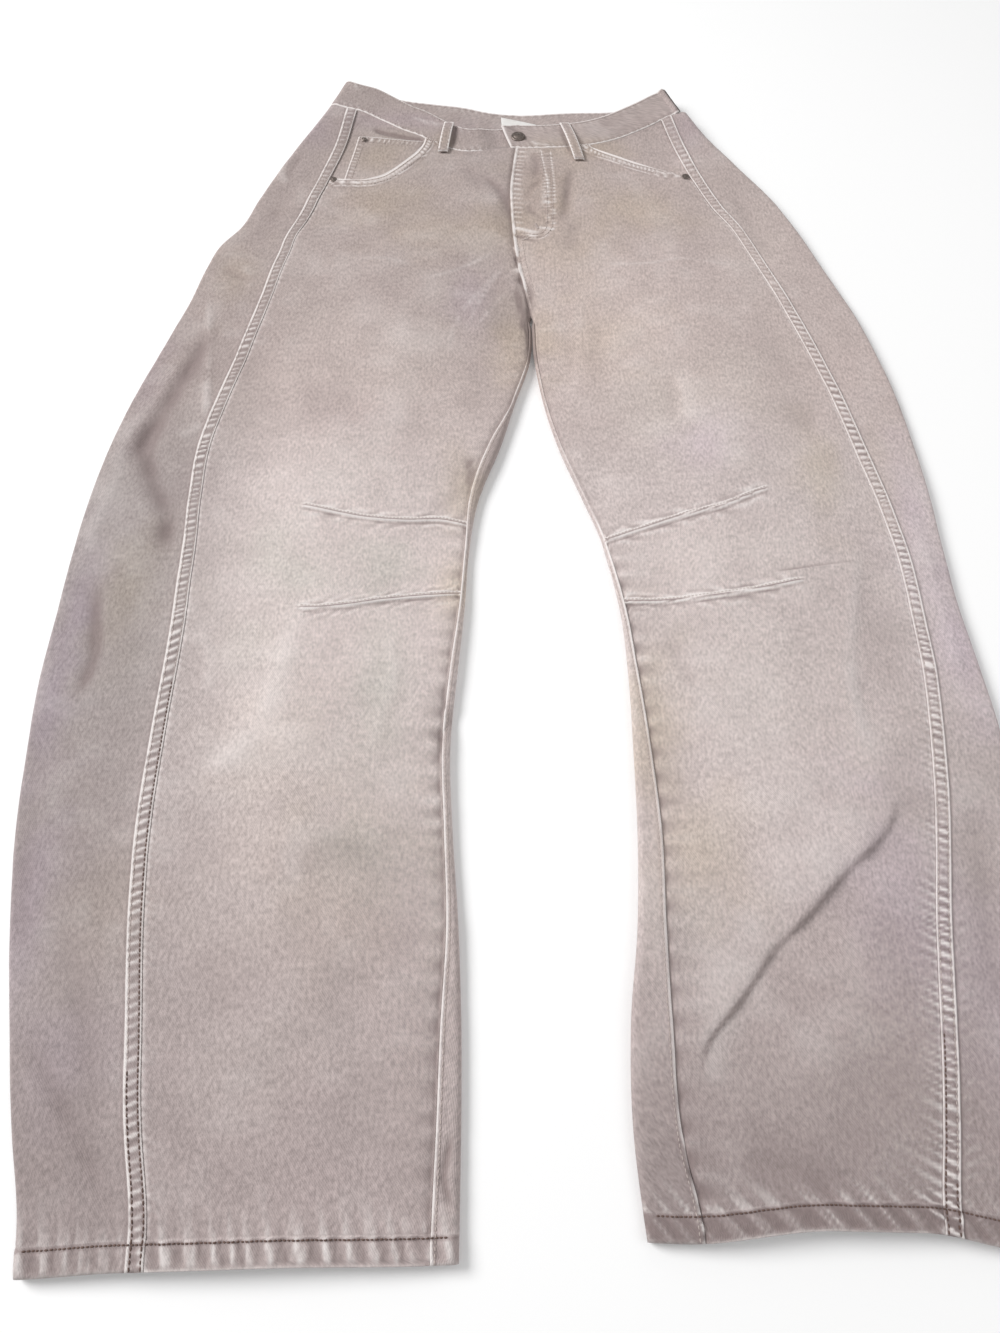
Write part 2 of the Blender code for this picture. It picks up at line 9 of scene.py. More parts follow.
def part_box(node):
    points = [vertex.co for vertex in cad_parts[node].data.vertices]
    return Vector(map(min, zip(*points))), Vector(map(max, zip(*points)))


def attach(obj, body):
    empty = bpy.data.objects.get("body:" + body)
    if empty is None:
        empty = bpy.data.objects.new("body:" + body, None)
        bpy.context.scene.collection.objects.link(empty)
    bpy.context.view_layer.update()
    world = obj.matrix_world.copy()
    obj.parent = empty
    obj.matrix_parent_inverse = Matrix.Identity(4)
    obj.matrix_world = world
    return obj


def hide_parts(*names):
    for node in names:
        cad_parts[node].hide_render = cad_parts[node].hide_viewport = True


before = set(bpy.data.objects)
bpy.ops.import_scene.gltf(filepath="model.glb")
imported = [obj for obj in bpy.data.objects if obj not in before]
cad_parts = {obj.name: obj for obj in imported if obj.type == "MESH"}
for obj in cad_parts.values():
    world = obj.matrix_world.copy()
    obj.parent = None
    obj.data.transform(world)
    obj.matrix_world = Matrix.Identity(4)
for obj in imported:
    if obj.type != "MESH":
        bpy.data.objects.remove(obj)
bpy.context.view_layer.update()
print("frame loaded")

# Sizes are in millimetres, in plan. +X is right, +Y is towards the waist, and z is up from the floor.
# Left and right are as seen from the front. A point of a leg is placed by its distance from the outer fold.
mm = 0.001
buttonAt = (18, 866)
buttonLow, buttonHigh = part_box("button")
frameShift = (buttonAt[0] - (buttonLow.x + buttonHigh.x) / 2 / mm,
              buttonAt[1] - (buttonLow.y + buttonHigh.y) / 2 / mm)

sides = ("left", "right")
sign = {"left": 1, "right": -1}

cloth = {
    "wall": 1.2,
    "bandWall": 2.2,
    "gap": 0.3,
    "inseamGap": 0.5,
    "crotchGap": 1.6,
    "centreGap": 1,
    "waistGap": 0.8,
    "tuck": 3,  # how far a lapped edge runs on under its neighbour
    # clamps both the pale of wear and the dark of painted shade
    "wear": 1.5,  # the palest and the darkest that a ridge or a trough may get
}
crotch = {"legsMeet": 540, "unwrapLow": 616, "unwrapHigh": 640, "seatLow": 645, "seatHigh": 745}
waist = {"side": {"left": 914, "right": 903}, "blend": 700, "top": 914}
# how far the waist seam has dropped in front and behind, at shares of the way from side fold to centre
waistDrop = {
    "left": (
        (0.00, 0, 0), (0.10, 7, 2.5), (0.19, 12, 6), (0.29, 24, 10), (0.40, 38, 15), (0.48, 46, 17.5),
        (0.56, 57, 20), (0.63, 66, 22), (0.72, 72, 26), (0.80, 71, 31), (0.90, 67, 35), (1.00, 65, 36.5),
    ),
    "right": (
        (0.00, 0, 0), (0.08, 6.5, 4.5), (0.14, 12, 8.5), (0.22, 21, 14), (0.30, 29, 18.5), (0.42, 40, 21),
        (0.50, 46, 21.5), (0.58, 50, 21.5), (0.66, 52, 22), (0.76, 54, 23), (0.88, 55, 25), (1.00, 55, 26),
    ),
}
# the hem's edge lifts between two shares of the way from the outer fold
hemBows = {
    "left": {"rise": 2, "start": 0, "full": 0.25, "ease": 0.55, "end": 0.95},
    "right": {"rise": 8.6, "start": 0.06, "full": 0.34, "ease": 0.55, "end": 0.92},
}
hemBowReach = 100
swellPower = 1.3

stationNames = ("y", "outer", "seam", "inseam", "inner", "fold", "crown")
stations = {
    "left": (
        (-90, -265, -197, -38, -22, 4, 5),
        (-60, -270, -200, -38, -22, 4, 6),
        (-20, -282, -209, -37, -22, 4, 7),
        (40, -298, -219, -36, -23, 4, 8),
        (100, -312, -228, -34, -26, 4, 9),
        (160, -322, -233, -37, -31, 4, 10),
        (220, -328, -234, -40, -34, 4, 10),
        (280, -331, -234, -36, -30, 4, 10),
        (330, -330, -235, -30.5, -26, 4, 10),
        (380, -329, -236, -27, -23.5, 4, 10),
        (430, -326, -238, -24, -16.5, 4, 10),
        (480, -320, -238, -10, 0, 4, 10),
        (530, -310, -229, 11.5, 13.5, 4, 10),
        (580, -297, -219, 25, 27, 4, 10),
        (640, -280, -208, 24, 26, 4, 10),
        (690, -269, -200, 10, 16, 4, 9),
        (712, -262, -195, 7, 13, 4.2, 9),
        (740, -244, -188, 5, 11, 4.5, 8),
        (780, -231, -177, 4, 10, 5.5, 5),
        (820, -216, -166, 7, 13, 6.5, 1),
        (860, -199, -157, 11, 17, 7.2, -3),
        (914, -175, -150, 13, 19, 8, -5),
        (956, -160, -142, 13, 19, 8, -5),
    ),
    "right": (
        (-80, 309, 249, 113, 82, 4, 5),
        (-60, 313, 251, 112, 80, 4, 6),
        (-20, 322, 258, 105, 77, 4, 7),
        (40, 333, 269, 104, 79, 4, 8),
        (100, 342, 279, 105, 87, 4, 9),
        (160, 348, 291, 107, 91, 4, 10),
        (220, 350, 300, 104, 92, 4, 10),
        (280, 347, 307, 99, 92, 4, 10),
        (330, 343, 308, 93.5, 89, 4, 10),
        (380, 342, 307, 81.5, 79, 4, 10),
        (430, 342, 302, 66, 64, 4, 10),
        (480, 340, 293, 50, 48, 4, 10),
        (530, 336, 282, 38, 36, 4, 10),
        (580, 327, 269, 31, 29, 4, 10),
        (640, 313, 252, 28, 26, 4, 10),
        (690, 296, 237, 22, 16, 4, 9),
        (740, 278, 221, 17, 11, 4.5, 8),
        (780, 260, 201, 16, 10, 5.5, 5),
        (820, 235, 186, 19, 13, 6.5, 1),
        (860, 211, 177, 23, 17, 7.2, -3),
        (903, 191, 168, 25, 19, 8, -5),
        (946, 175, 158, 25, 19, 8, -5),
    ),
}

# rows of cloth from hem to waist: height on the outer fold, height on the inner fold
rowHeights = {
    "left": (
        (-88, -81), (-30, -25), (20, 24), (70, 73), (120, 122), (170, 173), (220, 226), (264, 283),
        (299, 341), (365, 372), (431, 403), (478, 452), (522, 498), (562, 540), (600, 580), (632, 616),
        (656, 640), (680, 668), (716, 700), (752, 726), (788, 752), (822, 780), (852, 826), (882, 870),
        (914, 914),
    ),
    "right": (
        (-76, -71), (-25, -22), (25, 26), (75, 75), (125, 123), (175, 172), (225, 222), (285, 280),
        (363, 332), (424, 358), (481, 386), (515, 440), (545, 490), (575, 540), (605, 580), (634, 616),
        (656, 640), (680, 668), (712, 700), (746, 726), (784, 752), (822, 780), (850, 826), (877, 870),
        (903, 914),
    ),
}
scoopRow = 822
scoops = {
    "left": ((-141, 800.5), (-128, 800), (-114, 804), (-103, 813), (-92, 826), (-82, 839), (-76, 853), (-74, 868)),
    "right": ((160, 814), (145, 819), (129, 825), (116, 832), (102, 840), (95, 845), (90, 850), (87, 860)),
}


# small helpers

def mix(a, b, t):
    return a + (b - a) * t


def ease(t):
    t = np.clip(t, 0, 1)
    return t * t * (3 - 2 * t)


def smooth(low, high, value):
    return ease((value - low) / (high - low))


def bump(distance, width):
    return np.exp(-(distance / width) ** 2)


def shares(count):
    return np.linspace(0, 1, count)


def chain(*parts):
    return np.concatenate(parts)


def pairs(x, y):
    return np.stack([x, y], axis=1)


def cloud(x, y, size, seed):
    # soft uneven field from -1 to 1, with lumps about this size
    lattice = np.random.RandomState(seed).uniform(-1, 1, (128, 128))
    u, v = x / size + 50, y / size + 50
    i, j = np.floor(u).astype(int), np.floor(v).astype(int)
    fu, fv = ease(u - i), ease(v - j)
    low = mix(lattice[i % 128, j % 128], lattice[(i + 1) % 128, j % 128], fu)
    high = mix(lattice[i % 128, (j + 1) % 128], lattice[(i + 1) % 128, (j + 1) % 128], fu)
    return mix(low, high, fv)


def smoothLine(points, step=4):
    # a rounded line through given points, with a point every few millimetres
    p = np.asarray(points, float)
    p = np.vstack([2 * p[0] - p[1], p, 2 * p[-1] - p[-2]])
    out = []
    for k in range(1, len(p) - 2):
        count = max(int(np.linalg.norm(p[k + 1] - p[k]) / step), 1)
        t = (np.arange(count) / count)[:, None]
        out.append(0.5 * (2 * p[k] + (p[k + 1] - p[k - 1]) * t
                          + (2 * p[k - 1] - 5 * p[k] + 4 * p[k + 1] - p[k + 2]) * t ** 2
                          + (3 * p[k] - p[k - 1] - 3 * p[k + 1] + p[k + 2]) * t ** 3))
    return np.vstack(out + [p[-2:-1]])


def lineCoords(line, x, y, margin):
    # where the points near a line lie: which ones, how far to its left, how far along, and its length
    near = ((x > line[:, 0].min() - margin) & (x < line[:, 0].max() + margin)
            & (y > line[:, 1].min() - margin) & (y < line[:, 1].max() + margin))
    px, py = x[near], y[near]
    best = np.full(px.shape, 1e9)
    left = np.zeros(px.shape)
    along = np.zeros(px.shape)
    run = 0
    for (ax, ay), (bx, by) in zip(line, line[1:]):
        dx, dy = bx - ax, by - ay
        length = math.hypot(dx, dy)
        t = np.clip(((px - ax) * dx + (py - ay) * dy) / length ** 2, 0, 1)
        ox, oy = px - ax - t * dx, py - ay - t * dy
        distance = np.hypot(ox, oy)
        nearer = distance < best
        best = np.where(nearer, distance, best)
        left = np.where(nearer, distance * np.where(dx * oy - dy * ox >= 0, 1, -1), left)
        along = np.where(nearer, run + t * length, along)
        run += length
    return near, left, along, run


# the flattened trousers

def curve(table, column, y):
    table = np.array(table, float)
    heights, values = table[:, 0], table[:, column]
    slopes = np.gradient(values, heights)
    y = np.clip(y, heights[0], heights[-1])
    k = np.clip(np.searchsorted(heights, y) - 1, 0, len(heights) - 2)
    step = heights[k + 1] - heights[k]
    t = (y - heights[k]) / step
    return ((2 * t ** 3 - 3 * t ** 2 + 1) * values[k] + (t ** 3 - 2 * t ** 2 + t) * step * slopes[k]
            + (3 * t ** 2 - 2 * t ** 3) * values[k + 1] + (t ** 3 - t ** 2) * step * slopes[k + 1])


def station(side, name, y):
    return curve(stations[side], stationNames.index(name), y)


def reach(side, y):
    return np.abs(station(side, "inner", y) - station(side, "outer", y)) - cloth["centreGap"] / 2


def fromFold(side, x, y):
    # distance in from the outer fold
    return np.abs(x - station(side, "outer", y))


def swell(side, w, y):
    # height of a leg's top over the floor
    u = np.clip(w / reach(side, y), 0, 1)
    leg = np.clip(np.sin(np.pi * u), 0, 1) ** swellPower
    seat = np.sin(np.pi / 2 * u) ** swellPower
    share = smooth(crotch["seatLow"], crotch["seatHigh"], y)
    return 2 * station(side, "fold", y) + station(side, "crown", y) * mix(leg, seat, share)


def centreLine(y):
    return (station("left", "inner", y) + station("right", "inner", y)) / 2


def height(x, y):
    onLeft = x < centreLine(y)
    left, right = (swell(side, fromFold(side, x, y), y) for side in sides)
    return np.where(onLeft, left, right)


def waistY(side, face, share):
    return waist["side"][side] - curve(waistDrop[side], 1 if face == "front" else 2, share)


def hemBow(side, share, y):
    bow = hemBows[side]
    low = rowHeights[side][0][0]
    shape = smooth(bow["start"], bow["full"], share) * (1 - smooth(bow["ease"], bow["end"], share))
    return bow["rise"] * shape * (1 - smooth(low, low + hemBowReach, y))


def hemLift(side, x, y):
    return hemBow(side, fromFold(side, x, y) / reach(side, y), y)


def foldDrop(side, w, y):
    # how far the inner fold's rounding lowers the cloth's top
    fold = station(side, "fold", y)
    over = np.clip(w - reach(side, y) + fold, 0, 0.97 * fold)
    return wrapShare(y) * (fold - np.sqrt(fold ** 2 - over ** 2))


def waistSeam(side, x):
    top = waist["side"][side]
    return waistY(side, "front", fromFold(side, x, top) / reach(side, top))


def bend(side, face, w, y):
    # height in plan of a row's point, once the waist and the hem have pulled it
    share = np.clip(w / reach(side, y), 0, 1)
    top = mix(waist["side"][side], waist["top"], share)
    return y + smooth(waist["blend"], top, y) * (waistY(side, face, share) - top) + hemBow(side, share, y)


def place(side, w, low, high, face="front"):
    # plan of a point of a row, at a distance in from the outer fold
    share = np.clip(w / reach(side, low), 0, 1)
    y = mix(low, high, share)
    bent = bend(side, face, w, y)
    follow = station(side, "inner", bent) - station(side, "inner", y)
    return station(side, "outer", y) + sign[side] * w + follow * share, bent


def wrapShare(y):
    # 1 where the back wraps round the inner fold, 0 above the crotch
    return 1 - smooth(crotch["unwrapLow"], crotch["unwrapHigh"], y)


# heights on the inner fold between which the rows lie closer, for the darts and the hem
fineRows = {"left": ((-82, -62), (337.5, 346), (399, 409)), "right": ((-72, -52), (329, 338), (383, 394))}


def denseRows(side, step, last=None, fine=False):
    # heights of rows on the outer and inner fold, a step apart
    lows, highs = [], []
    table = [row for row in rowHeights[side] if last is None or row[0] <= last]
    for (low, high), (nextLow, nextHigh) in zip(table, table[1:]):
        count = int(math.ceil(max(nextLow - low, nextHigh - high) / step))
        t = np.arange(count) / count
        lows.append(mix(low, nextLow, t))
        highs.append(mix(high, nextHigh, t))
    low = np.append(np.concatenate(lows), table[-1][0])
    high = np.append(np.concatenate(highs), table[-1][1])
    for bottom, top in fineRows[side] * 2 if fine else ():
        near = np.flatnonzero((high[:-1] > bottom) & (high[:-1] < top)) + 1
        low = np.insert(low, near, (low[near - 1] + low[near]) / 2)
        high = np.insert(high, near, (high[near - 1] + high[near]) / 2)
    return low, high


seamBand = {
    "width": 10,
    "rise": 0.9,
    "step": 0.5,
    "rows": (1.7, 8),  # topstitch rows, in from the front edge
    "ladder": 0.5,  # height of the puckers between the rows
    "ladderPitch": 5.9,
}
hem = {
    "depth": 14.5,
    "rise": 0.8,
    "step": 1.6,
    "stitch": 12.9,
    "rope": 0.85,
    "ropePitch": {"left": 12, "right": 15.5},
    "slant": {"left": 0.25, "right": 0.85},
    "contrast": {"left": 0.7, "right": 0.95},
    "shade": {"left": 0.1, "right": 0.75},
}
seamClear = 1.9  # how near a seam may come to the inner fold's edge


def seamWidth(side, low):
    return np.abs(station(side, "seam", low) - station(side, "outer", low)) + seamBand["width"] / 2


def inseamEnd(side, low, high):
    # plan of a back panel's edge on the inner strip, or on the underside above the crotch
    w = mix(reach(side, high), inseamReach(side, high), wrapShare(high))
    return place(side, w, low, high, "back")


def inseamReach(side, high):
    across = np.abs(station(side, "inseam", high) - station(side, "outer", high))
    return np.minimum(across, reach(side, high) - seamClear)


def frontStart(side, low, high):
    x, y = place(side, seamWidth(side, low), low, high)
    return x + sign[side] * cloth["gap"], y


def frontEnd(side, low, high):
    bent = bend(side, "front", reach(side, high), high)
    middle = station(side, "inner", bent) - sign[side] * cloth["centreGap"] / 2
    x, y = inseamEnd(side, low, high)
    gap = mix(cloth["inseamGap"], cloth["crotchGap"], smooth(crotch["legsMeet"], crotch["unwrapLow"], high))
    share = wrapShare(high)
    return mix(middle, x - sign[side] * gap, share), mix(bent, y, share)


def scoopPoint(side, share, margin=0):
    line = smoothLine(scoops[side], 1.5)
    marks = shares(len(line))
    knots = [int(np.argmin(np.hypot(*(line - np.array(spot)).T))) for spot in scoops[side]]
    at = np.interp(share, shares(len(knots)), marks[knots])
    way = np.gradient(line, axis=0)
    way = way / np.linalg.norm(way, axis=1)[:, None] * sign[side]
    x = np.interp(at, marks, line[:, 0]) + margin * np.interp(at, marks, way[:, 1])
    y = np.interp(at, marks, line[:, 1]) - margin * np.interp(at, marks, way[:, 0])
    return x, np.minimum(y, waistSeam(side, x))


# creases, each with its own place and size: width and depth of the soft trough (or ridge, if above 0) and its
# tone (pale wear on ridges, painted shade in troughs), and where the cloth steps up to the line's left, how high,
# how sharply, and how far it dies away
creaseNames = ("where", "width", "depth", "tone", "step", "edge", "tail")
creases = (
    # left leg
    (((-262, 652), (-253, 601), (-246, 544), (-239, 494)), 3.4, 1.6, 0.3),
    (((-287, 35), (-263, 7), (-236, -27), (-218, -55), (-210, -62)), 6, -1.7, -0.4, -0.8, 4, 22),
    (((-278, 100), (-256, 62), (-246, 32), (-232, -3), (-223, -19)), 9, -1.5, -0.4, 0.8, 6, 26),
    (((-302, 352), (-298, 323), (-292, 291), (-296, 267), (-303, 250)), 5, -2.4, -1.6, 1, 3, 24),
    (((-80, 148), (-104, 144), (-132, 131)), 10, -1.2, -0.2, 0.6, 8, 22),
    (((-27, -16), (-31, -34), (-31, -44), (-25, -58)), 1.9, -1.8, -1.6, 1, 0.9, 7),
    (((-82, 317), (-75, 273), (-83, 239), (-88, 205)), 5, 1.1, 0.15),
    (((-37, 268), (-40, 258), (-35, 241), (-41, 222), (-37, 208)), 2.6, -1.6, -0.8, 0.6, 1.2, 7),
    (((-215, 309), (-206, 283), (-203, 250)), 5, 0.9, 0.15),
    (((-160, 270), (-140, 190), (-132, 120)), 26, 1.6, 0.1),
    (((-200, 190), (-176, 110), (-160, 30)), 24, -1.5, -0.12),
    (((-110, 80), (-84, 20), (-70, -40)), 22, -1.2, -0.1),
    (((-150, 560), (-128, 512), (-96, 488)), 20, -1.2, -0.06),
    (((-60, 640), (-80, 560), (-90, 470)), 24, 1.4, 0.12),
    (((-210, 600), (-190, 520), (-188, 440)), 20, -1.3, -0.12),
    (((-145, 330), (-153, 280), (-170, 222), (-200, 196)), 9, 1.1, 0.28),
    # whiskers from the crotch
    (((6, 693), (-22, 632), (-30, 589)), 1.6, 0.5, 0.32),
    (((0, 683), (-35, 623), (-44, 574)), 1.5, 0.4, 0.3),
    (((14, 666), (-10, 630), (-26, 600)), 1.5, 0.5, 0.3),
    (((-74, 662), (-40, 678), (-1, 702)), 1.6, 0.4, 0.25),
    (((-135, 687), (-106, 690), (-75, 680)), 1.6, 0.4, 0.2),
    (((14, 640), (-12, 560), (-30, 500)), 14, -1.5, -0.2),
    (((85, 690), (100, 683), (135, 683), (167, 690), (217, 683)), 1.6, 0.4, 0.25),
    (((61, 644), (62, 591), (58, 533)), 3, -0.9, -0.2, 0.6, 3, 14),
    (((82, 640), (84, 590), (76, 520)), 9, -0.9, -0.2),
    # the valley where the legs meet, painted dark as its shade
    (((25, 672), (26.5, 640), (26, 610), (27, 590), (27, 566)), 2.8, -1.6, -2.4),
    (((12, 664), (16, 650), (21, 625), (26, 598)), 2.6, -0.9, -2.4, 0.4, 2, 10),
    # dents by the left inseam over the upper dart, painted dark as their shade
    (((-27, 470), (-23.5, 455), (-26, 438)), 3, -1.4, -1.9, 0.8, 3, 14),
    (((-38, 462), (-34, 450), (-37, 432)), 4, -1, -0.5, 0.4, 3, 10),
    (((-28, 438), (-40, 424), (-60, 418)), 6, -0.8, -0.4),
    # beside the fly
    # painted shade left of the fly's edge
    (((-16, 812), (-13, 801), (4, 773), (8, 733)), 4.5, -2, -1.1, 0.9, 3, 12),
    (((-34, 818), (-24, 801), (-18, 780)), 5, -1, -0.4),
    (((-6, 760), (2, 735), (8, 712)), 7, -1, -0.4),
    (((10, 730), (24, 725), (40, 722)), 1.8, 1, 1.1, 0.3, 2, 8),
    (((10, 721), (24, 716), (38, 713)), 1.8, -1.2, -1.5),
    (((34, 731), (45, 727), (53, 733)), 1.8, 0.9, 0.9),
    (((13, 708), (17, 699)), 2.2, 0.9, 1.2),
    (((15, 696), (18, 687)), 2.2, -1, -1.4),
    (((15, 684), (18, 676)), 2.2, 0.8, 1.1),
    (((17, 673), (20, 664)), 2.2, -1, -1.5),
    (((33, 842), (36, 818), (33, 795)), 3.5, -1.1, -0.9, 0.4, 3, 12),
    (((45, 812), (44, 780), (40, 752)), 3, 0.9, 0.5),
    (((24, 760), (34, 746), (44, 738)), 2.6, -0.9, -0.8),
    (((75, 822), (67, 801), (61, 756), (56, 733)), 4.5, -1.7, -0.85, -0.7, 3, 14),
    (((71, 740), (67, 716), (60, 700)), 7, -1, -0.45),
    (((39, 797), (27, 776), (25, 762)), 2.4, -0.9, -0.7, 0.3, 2, 8),
    (((-20, 842), (-34, 838), (-48, 840)), 4, -0.9, -0.4),
    # waistband and loops
    # painted shadows beside the two belt loops
    (((-43.5, 888), (-45, 868), (-48, 846)), 1.6, -0.9, -1.5),
    (((59.5, 884), (64, 862), (70, 838)), 1.4, -0.7, -1),
    (((-96, 896), (-87, 893), (-70, 887), (-53, 882)), 2, 0.7, 0.5, 0.3, 2, 8),
    (((4, 892), (10, 882), (18, 874), (27, 862), (33, 857)), 2.4, -1.3, -0.95, -0.6, 2, 8),
    (((27, 861), (42, 853), (58, 851)), 1.6, 0.6, 0.7),
    (((-140, 938), (-122, 925), (-112, 908)), 5, -0.9, -0.3),
    (((-152, 945), (-140, 930)), 4, 0.7, 0.25),
    (((100, 880), (112, 893), (128, 898)), 6, -0.6, -0.2),
    (((-20, 880), (-8, 868), (-4, 856)), 4, -0.8, -0.3),
    # left hip, from the outline's notch to the seam
    (((-262, 700), (-240, 700), (-214, 690)), 3.5, 1.1, 0.12, 0.8, 3, 14),
    (((-254, 688), (-236, 672), (-218, 664)), 3.5, -1.4, -0.6, 0.6, 3, 14),
    (((-234, 690), (-226, 668), (-222, 650)), 3, 1, 0.15),
    (((-250, 612), (-256, 590), (-267, 552), (-281, 506), (-290, 476), (-287, 460)),
     8, -2.8, -1.3, 1.4, 4, 20),
    (((-291, 506), (-289, 482), (-282, 458), (-273, 436), (-260, 410), (-254, 370)),
     7.5, -2.6, -1.1, -1.2, 4, 24),
    (((-268, 585), (-280, 545), (-296, 505), (-304, 480)), 7, 1.2, 0.1),
    (((-240, 500), (-252, 492), (-264, 484)), 5, 0.9, 0.2),
    (((-206, 838), (-213, 812), (-203, 792)), 4, 0.8, 0.25, 0.5, 3, 12),
    (((-192, 842), (-203, 812), (-196, 796)), 3, -0.9, -0.45),
    (((-300, 470), (-310, 420), (-318, 360)), 5, 0.8, 0.12),
    # right leg
    (((117, 8), (125, 31), (148, 56), (171, 84), (192, 102), (221, 130), (253, 158), (266, 184)),
     1.1, -0.8, -0.6, 2.6, 1.5, 46),
    (((190, 88), (216, 112), (250, 146), (268, 172), (276, 198)), 12, -0.6, -0.2),
    (((112, 30), (150, 82), (200, 132), (246, 172)), 16, 0.8, 0.22),
    (((268, 366), (240, 361), (222, 357.5), (197, 354)), 1.3, -0.9, -0.95, 1.2, 1.1, 12),
    (((278, 384), (271, 368), (256, 308), (249, 272), (249, 236), (255, 207)), 5, 0.9, 0.3, -1.3, 5, 24),
    (((125, 304), (132, 279), (139, 259)), 6, -1.5, -0.45, 0.6, 3, 14),
    (((98, -14), (105, -26), (108, -37), (116, -48), (124, -56)), 1.8, -1.6, -0.8, 1.2, 0.9, 8),
    (((140, -22), (155, -33), (178, -43), (196, -46)), 9, -1.8, -0.45, 0.8, 5, 20),
    (((150, 60), (128, 34), (122, 12), (116, -8)), 8, 0.8, 0.25),
    (((190, 40), (222, 70), (250, 92)), 26, 1.5, 0.12),
    (((186, -20), (216, 6), (262, 30)), 20, -1.3, -0.2),
    (((150, 560), (175, 500), (205, 455)), 24, 1.5, 0.12),
    (((142, 552), (145, 530), (140, 500)), 6, -1.2, -0.4),
    (((150, 552), (155, 520), (160, 495)), 8, 0.9, 0.25),
    (((230, 640), (240, 560), (256, 480)), 20, -1.2, -0.15),
    (((140, 300), (160, 220), (190, 150)), 26, 1.6, 0.1),
    (((284, 330), (286, 250), (276, 190)), 14, -0.7, -0.08),
    # outer strips
    (((-300, 520), (-312, 440), (-318, 380)), 8, 1.1, 0.12),
    (((-318, 220), (-309, 150), (-300, 80)), 8, -1.1, -0.3),
    (((322, 420), (328, 340), (330, 260)), 7, 1.3, 0.1),
    (((318, 180), (310, 100), (304, 40)), 9, -1.1, -0.25),
    (((-196, 800), (-214, 750), (-226, 705)), 9, -1.2, -0.25),
    (((222, 790), (240, 735), (254, 690)), 9, -1.1, -0.2),
)
creaseLines = [dict(zip(creaseNames, row + (0, 0, 0)), line=smoothLine(row[0])) for row in creases]

# knee darts, from the tip to the inseam
darts = (
    ((-156, 415), (-132, 410), (-107, 406), (-77, 405), (-47, 407), (-27, 403.5), (-20, 402)),
    ((-151, 324), (-133, 324), (-110, 328), (-89, 333), (-59, 338), (-31, 341), (-24, 341.5)),
    ((213, 432), (192, 423), (172, 414), (147, 408), (116, 399), (85, 389), (76, 385)),
    ((227, 347), (209, 343), (181, 338), (148, 334), (118, 333), (95, 334), (86, 333)),
)
dartShape = {"rise": 1.15, "above": 5.5, "below": 0.8, "stitch": 2.8, "pucker": 0.42, "pitch": 4.4, "tip": 10}


def ripple(along, pitch, seed, slant=0):
    # uneven wave from -1 to 1 along a seam
    phase = (along + slant) / pitch
    drift = cloud(phase, phase * 0, 2.6, seed) * 0.45
    size = 0.75 + 0.5 * cloud(phase, phase * 0 + 9, 1.7, seed + 1)
    return np.cos(2 * np.pi * (phase + drift)) * size


def clothRelief(x, y):
    # height of the creases over a plan, and the tone: pale where ridges wear, dark painted shade in troughs
    z = 1.1 * cloud(x, y, 74, 3) + 0.5 * cloud(x, y, 31, 4) + 0.14 * cloud(x, y, 11, 5)
    tone = 0.10 * cloud(x, y, 31, 4) + 0.08 * cloud(x, y, 12, 6)
    for crease in creaseLines:
        margin = 2.5 * max(crease["width"], crease["tail"])
        near, left, along, run = lineCoords(crease["line"], x, y, margin)
        if not near.any():
            continue
        end = min(0.3 * run, 26)
        fade = ease(along / end) * ease((run - along) / end)
        fade = fade * (0.85 + 0.3 * cloud(along, along * 0, 17, 11))
        reachOut = bump(left, crease["width"])
        z[near] += crease["depth"] * reachOut * fade
        if crease["step"]:
            ramp = left / np.hypot(left, crease["edge"]) * np.exp(-np.abs(left) / crease["tail"])
            z[near] += crease["step"] * ramp * fade
        tone[near] += crease["tone"] * reachOut * fade
    return z, tone


def dartRelief(x, y):
    z, tone = np.zeros(x.shape), np.zeros(x.shape)
    for number, points in enumerate(darts):
        line = smoothLine(points)
        near, left, along = lineCoords(line, x, y, 24)[:3]
        above = left if points[0][0] < points[-1][0] else -left
        fade = ease(along / dartShape["tip"])
        ridge = np.where(above > 0, bump(above, dartShape["above"]), bump(above, dartShape["below"]))
        z[near] += fade * (dartShape["rise"] * ridge - 0.35 * bump(above - dartShape["stitch"], 0.8))
        z[near] -= fade * 0.5 * bump(above + 2.6, 2.2)
        edge = 0.8 + 0.3 * cloud(along, along * 0, 4, 30 + number)
        # pale worn fold edge with a painted shadow line just below it, a pale stitch row and a dark line between
        # them
        tone[near] += fade * edge * (2.4 * bump(above - 0.1, 0.9) - 0.9 * bump(above + 1.9, 1.1))
        tone[near] += fade * (2.6 * bump(above - dartShape["stitch"], 0.9) - 2.6 * bump(above - 1.5, 0.8))
        wave = ripple(along, dartShape["pitch"], 40 + number, 0.5 * above)
        spread = np.where(above > 0, bump(above - 4.5, 3.6), 0.8 * bump(above + 5, 3.8)) * fade
        z[near] += dartShape["pucker"] * wave * spread
        # pucker peaks pale as wear, troughs dark as painted shade
        tone[near] += 0.65 * wave * spread
    return z, tone


# washed colours on screen, from which the denim's patches are mixed
palette = {
    "base": (197, 185, 182),
    "beige": (193, 178, 156),
    "green": (176, 178, 168),
    "lilac": (190, 174, 186),
    "deep": (160, 143, 142),
    "light": (212, 202, 197),
}
patchStrength = {"light": 0.8, "beige": 0.75, "green": 0.6, "lilac": 0.95, "deep": 0.45}
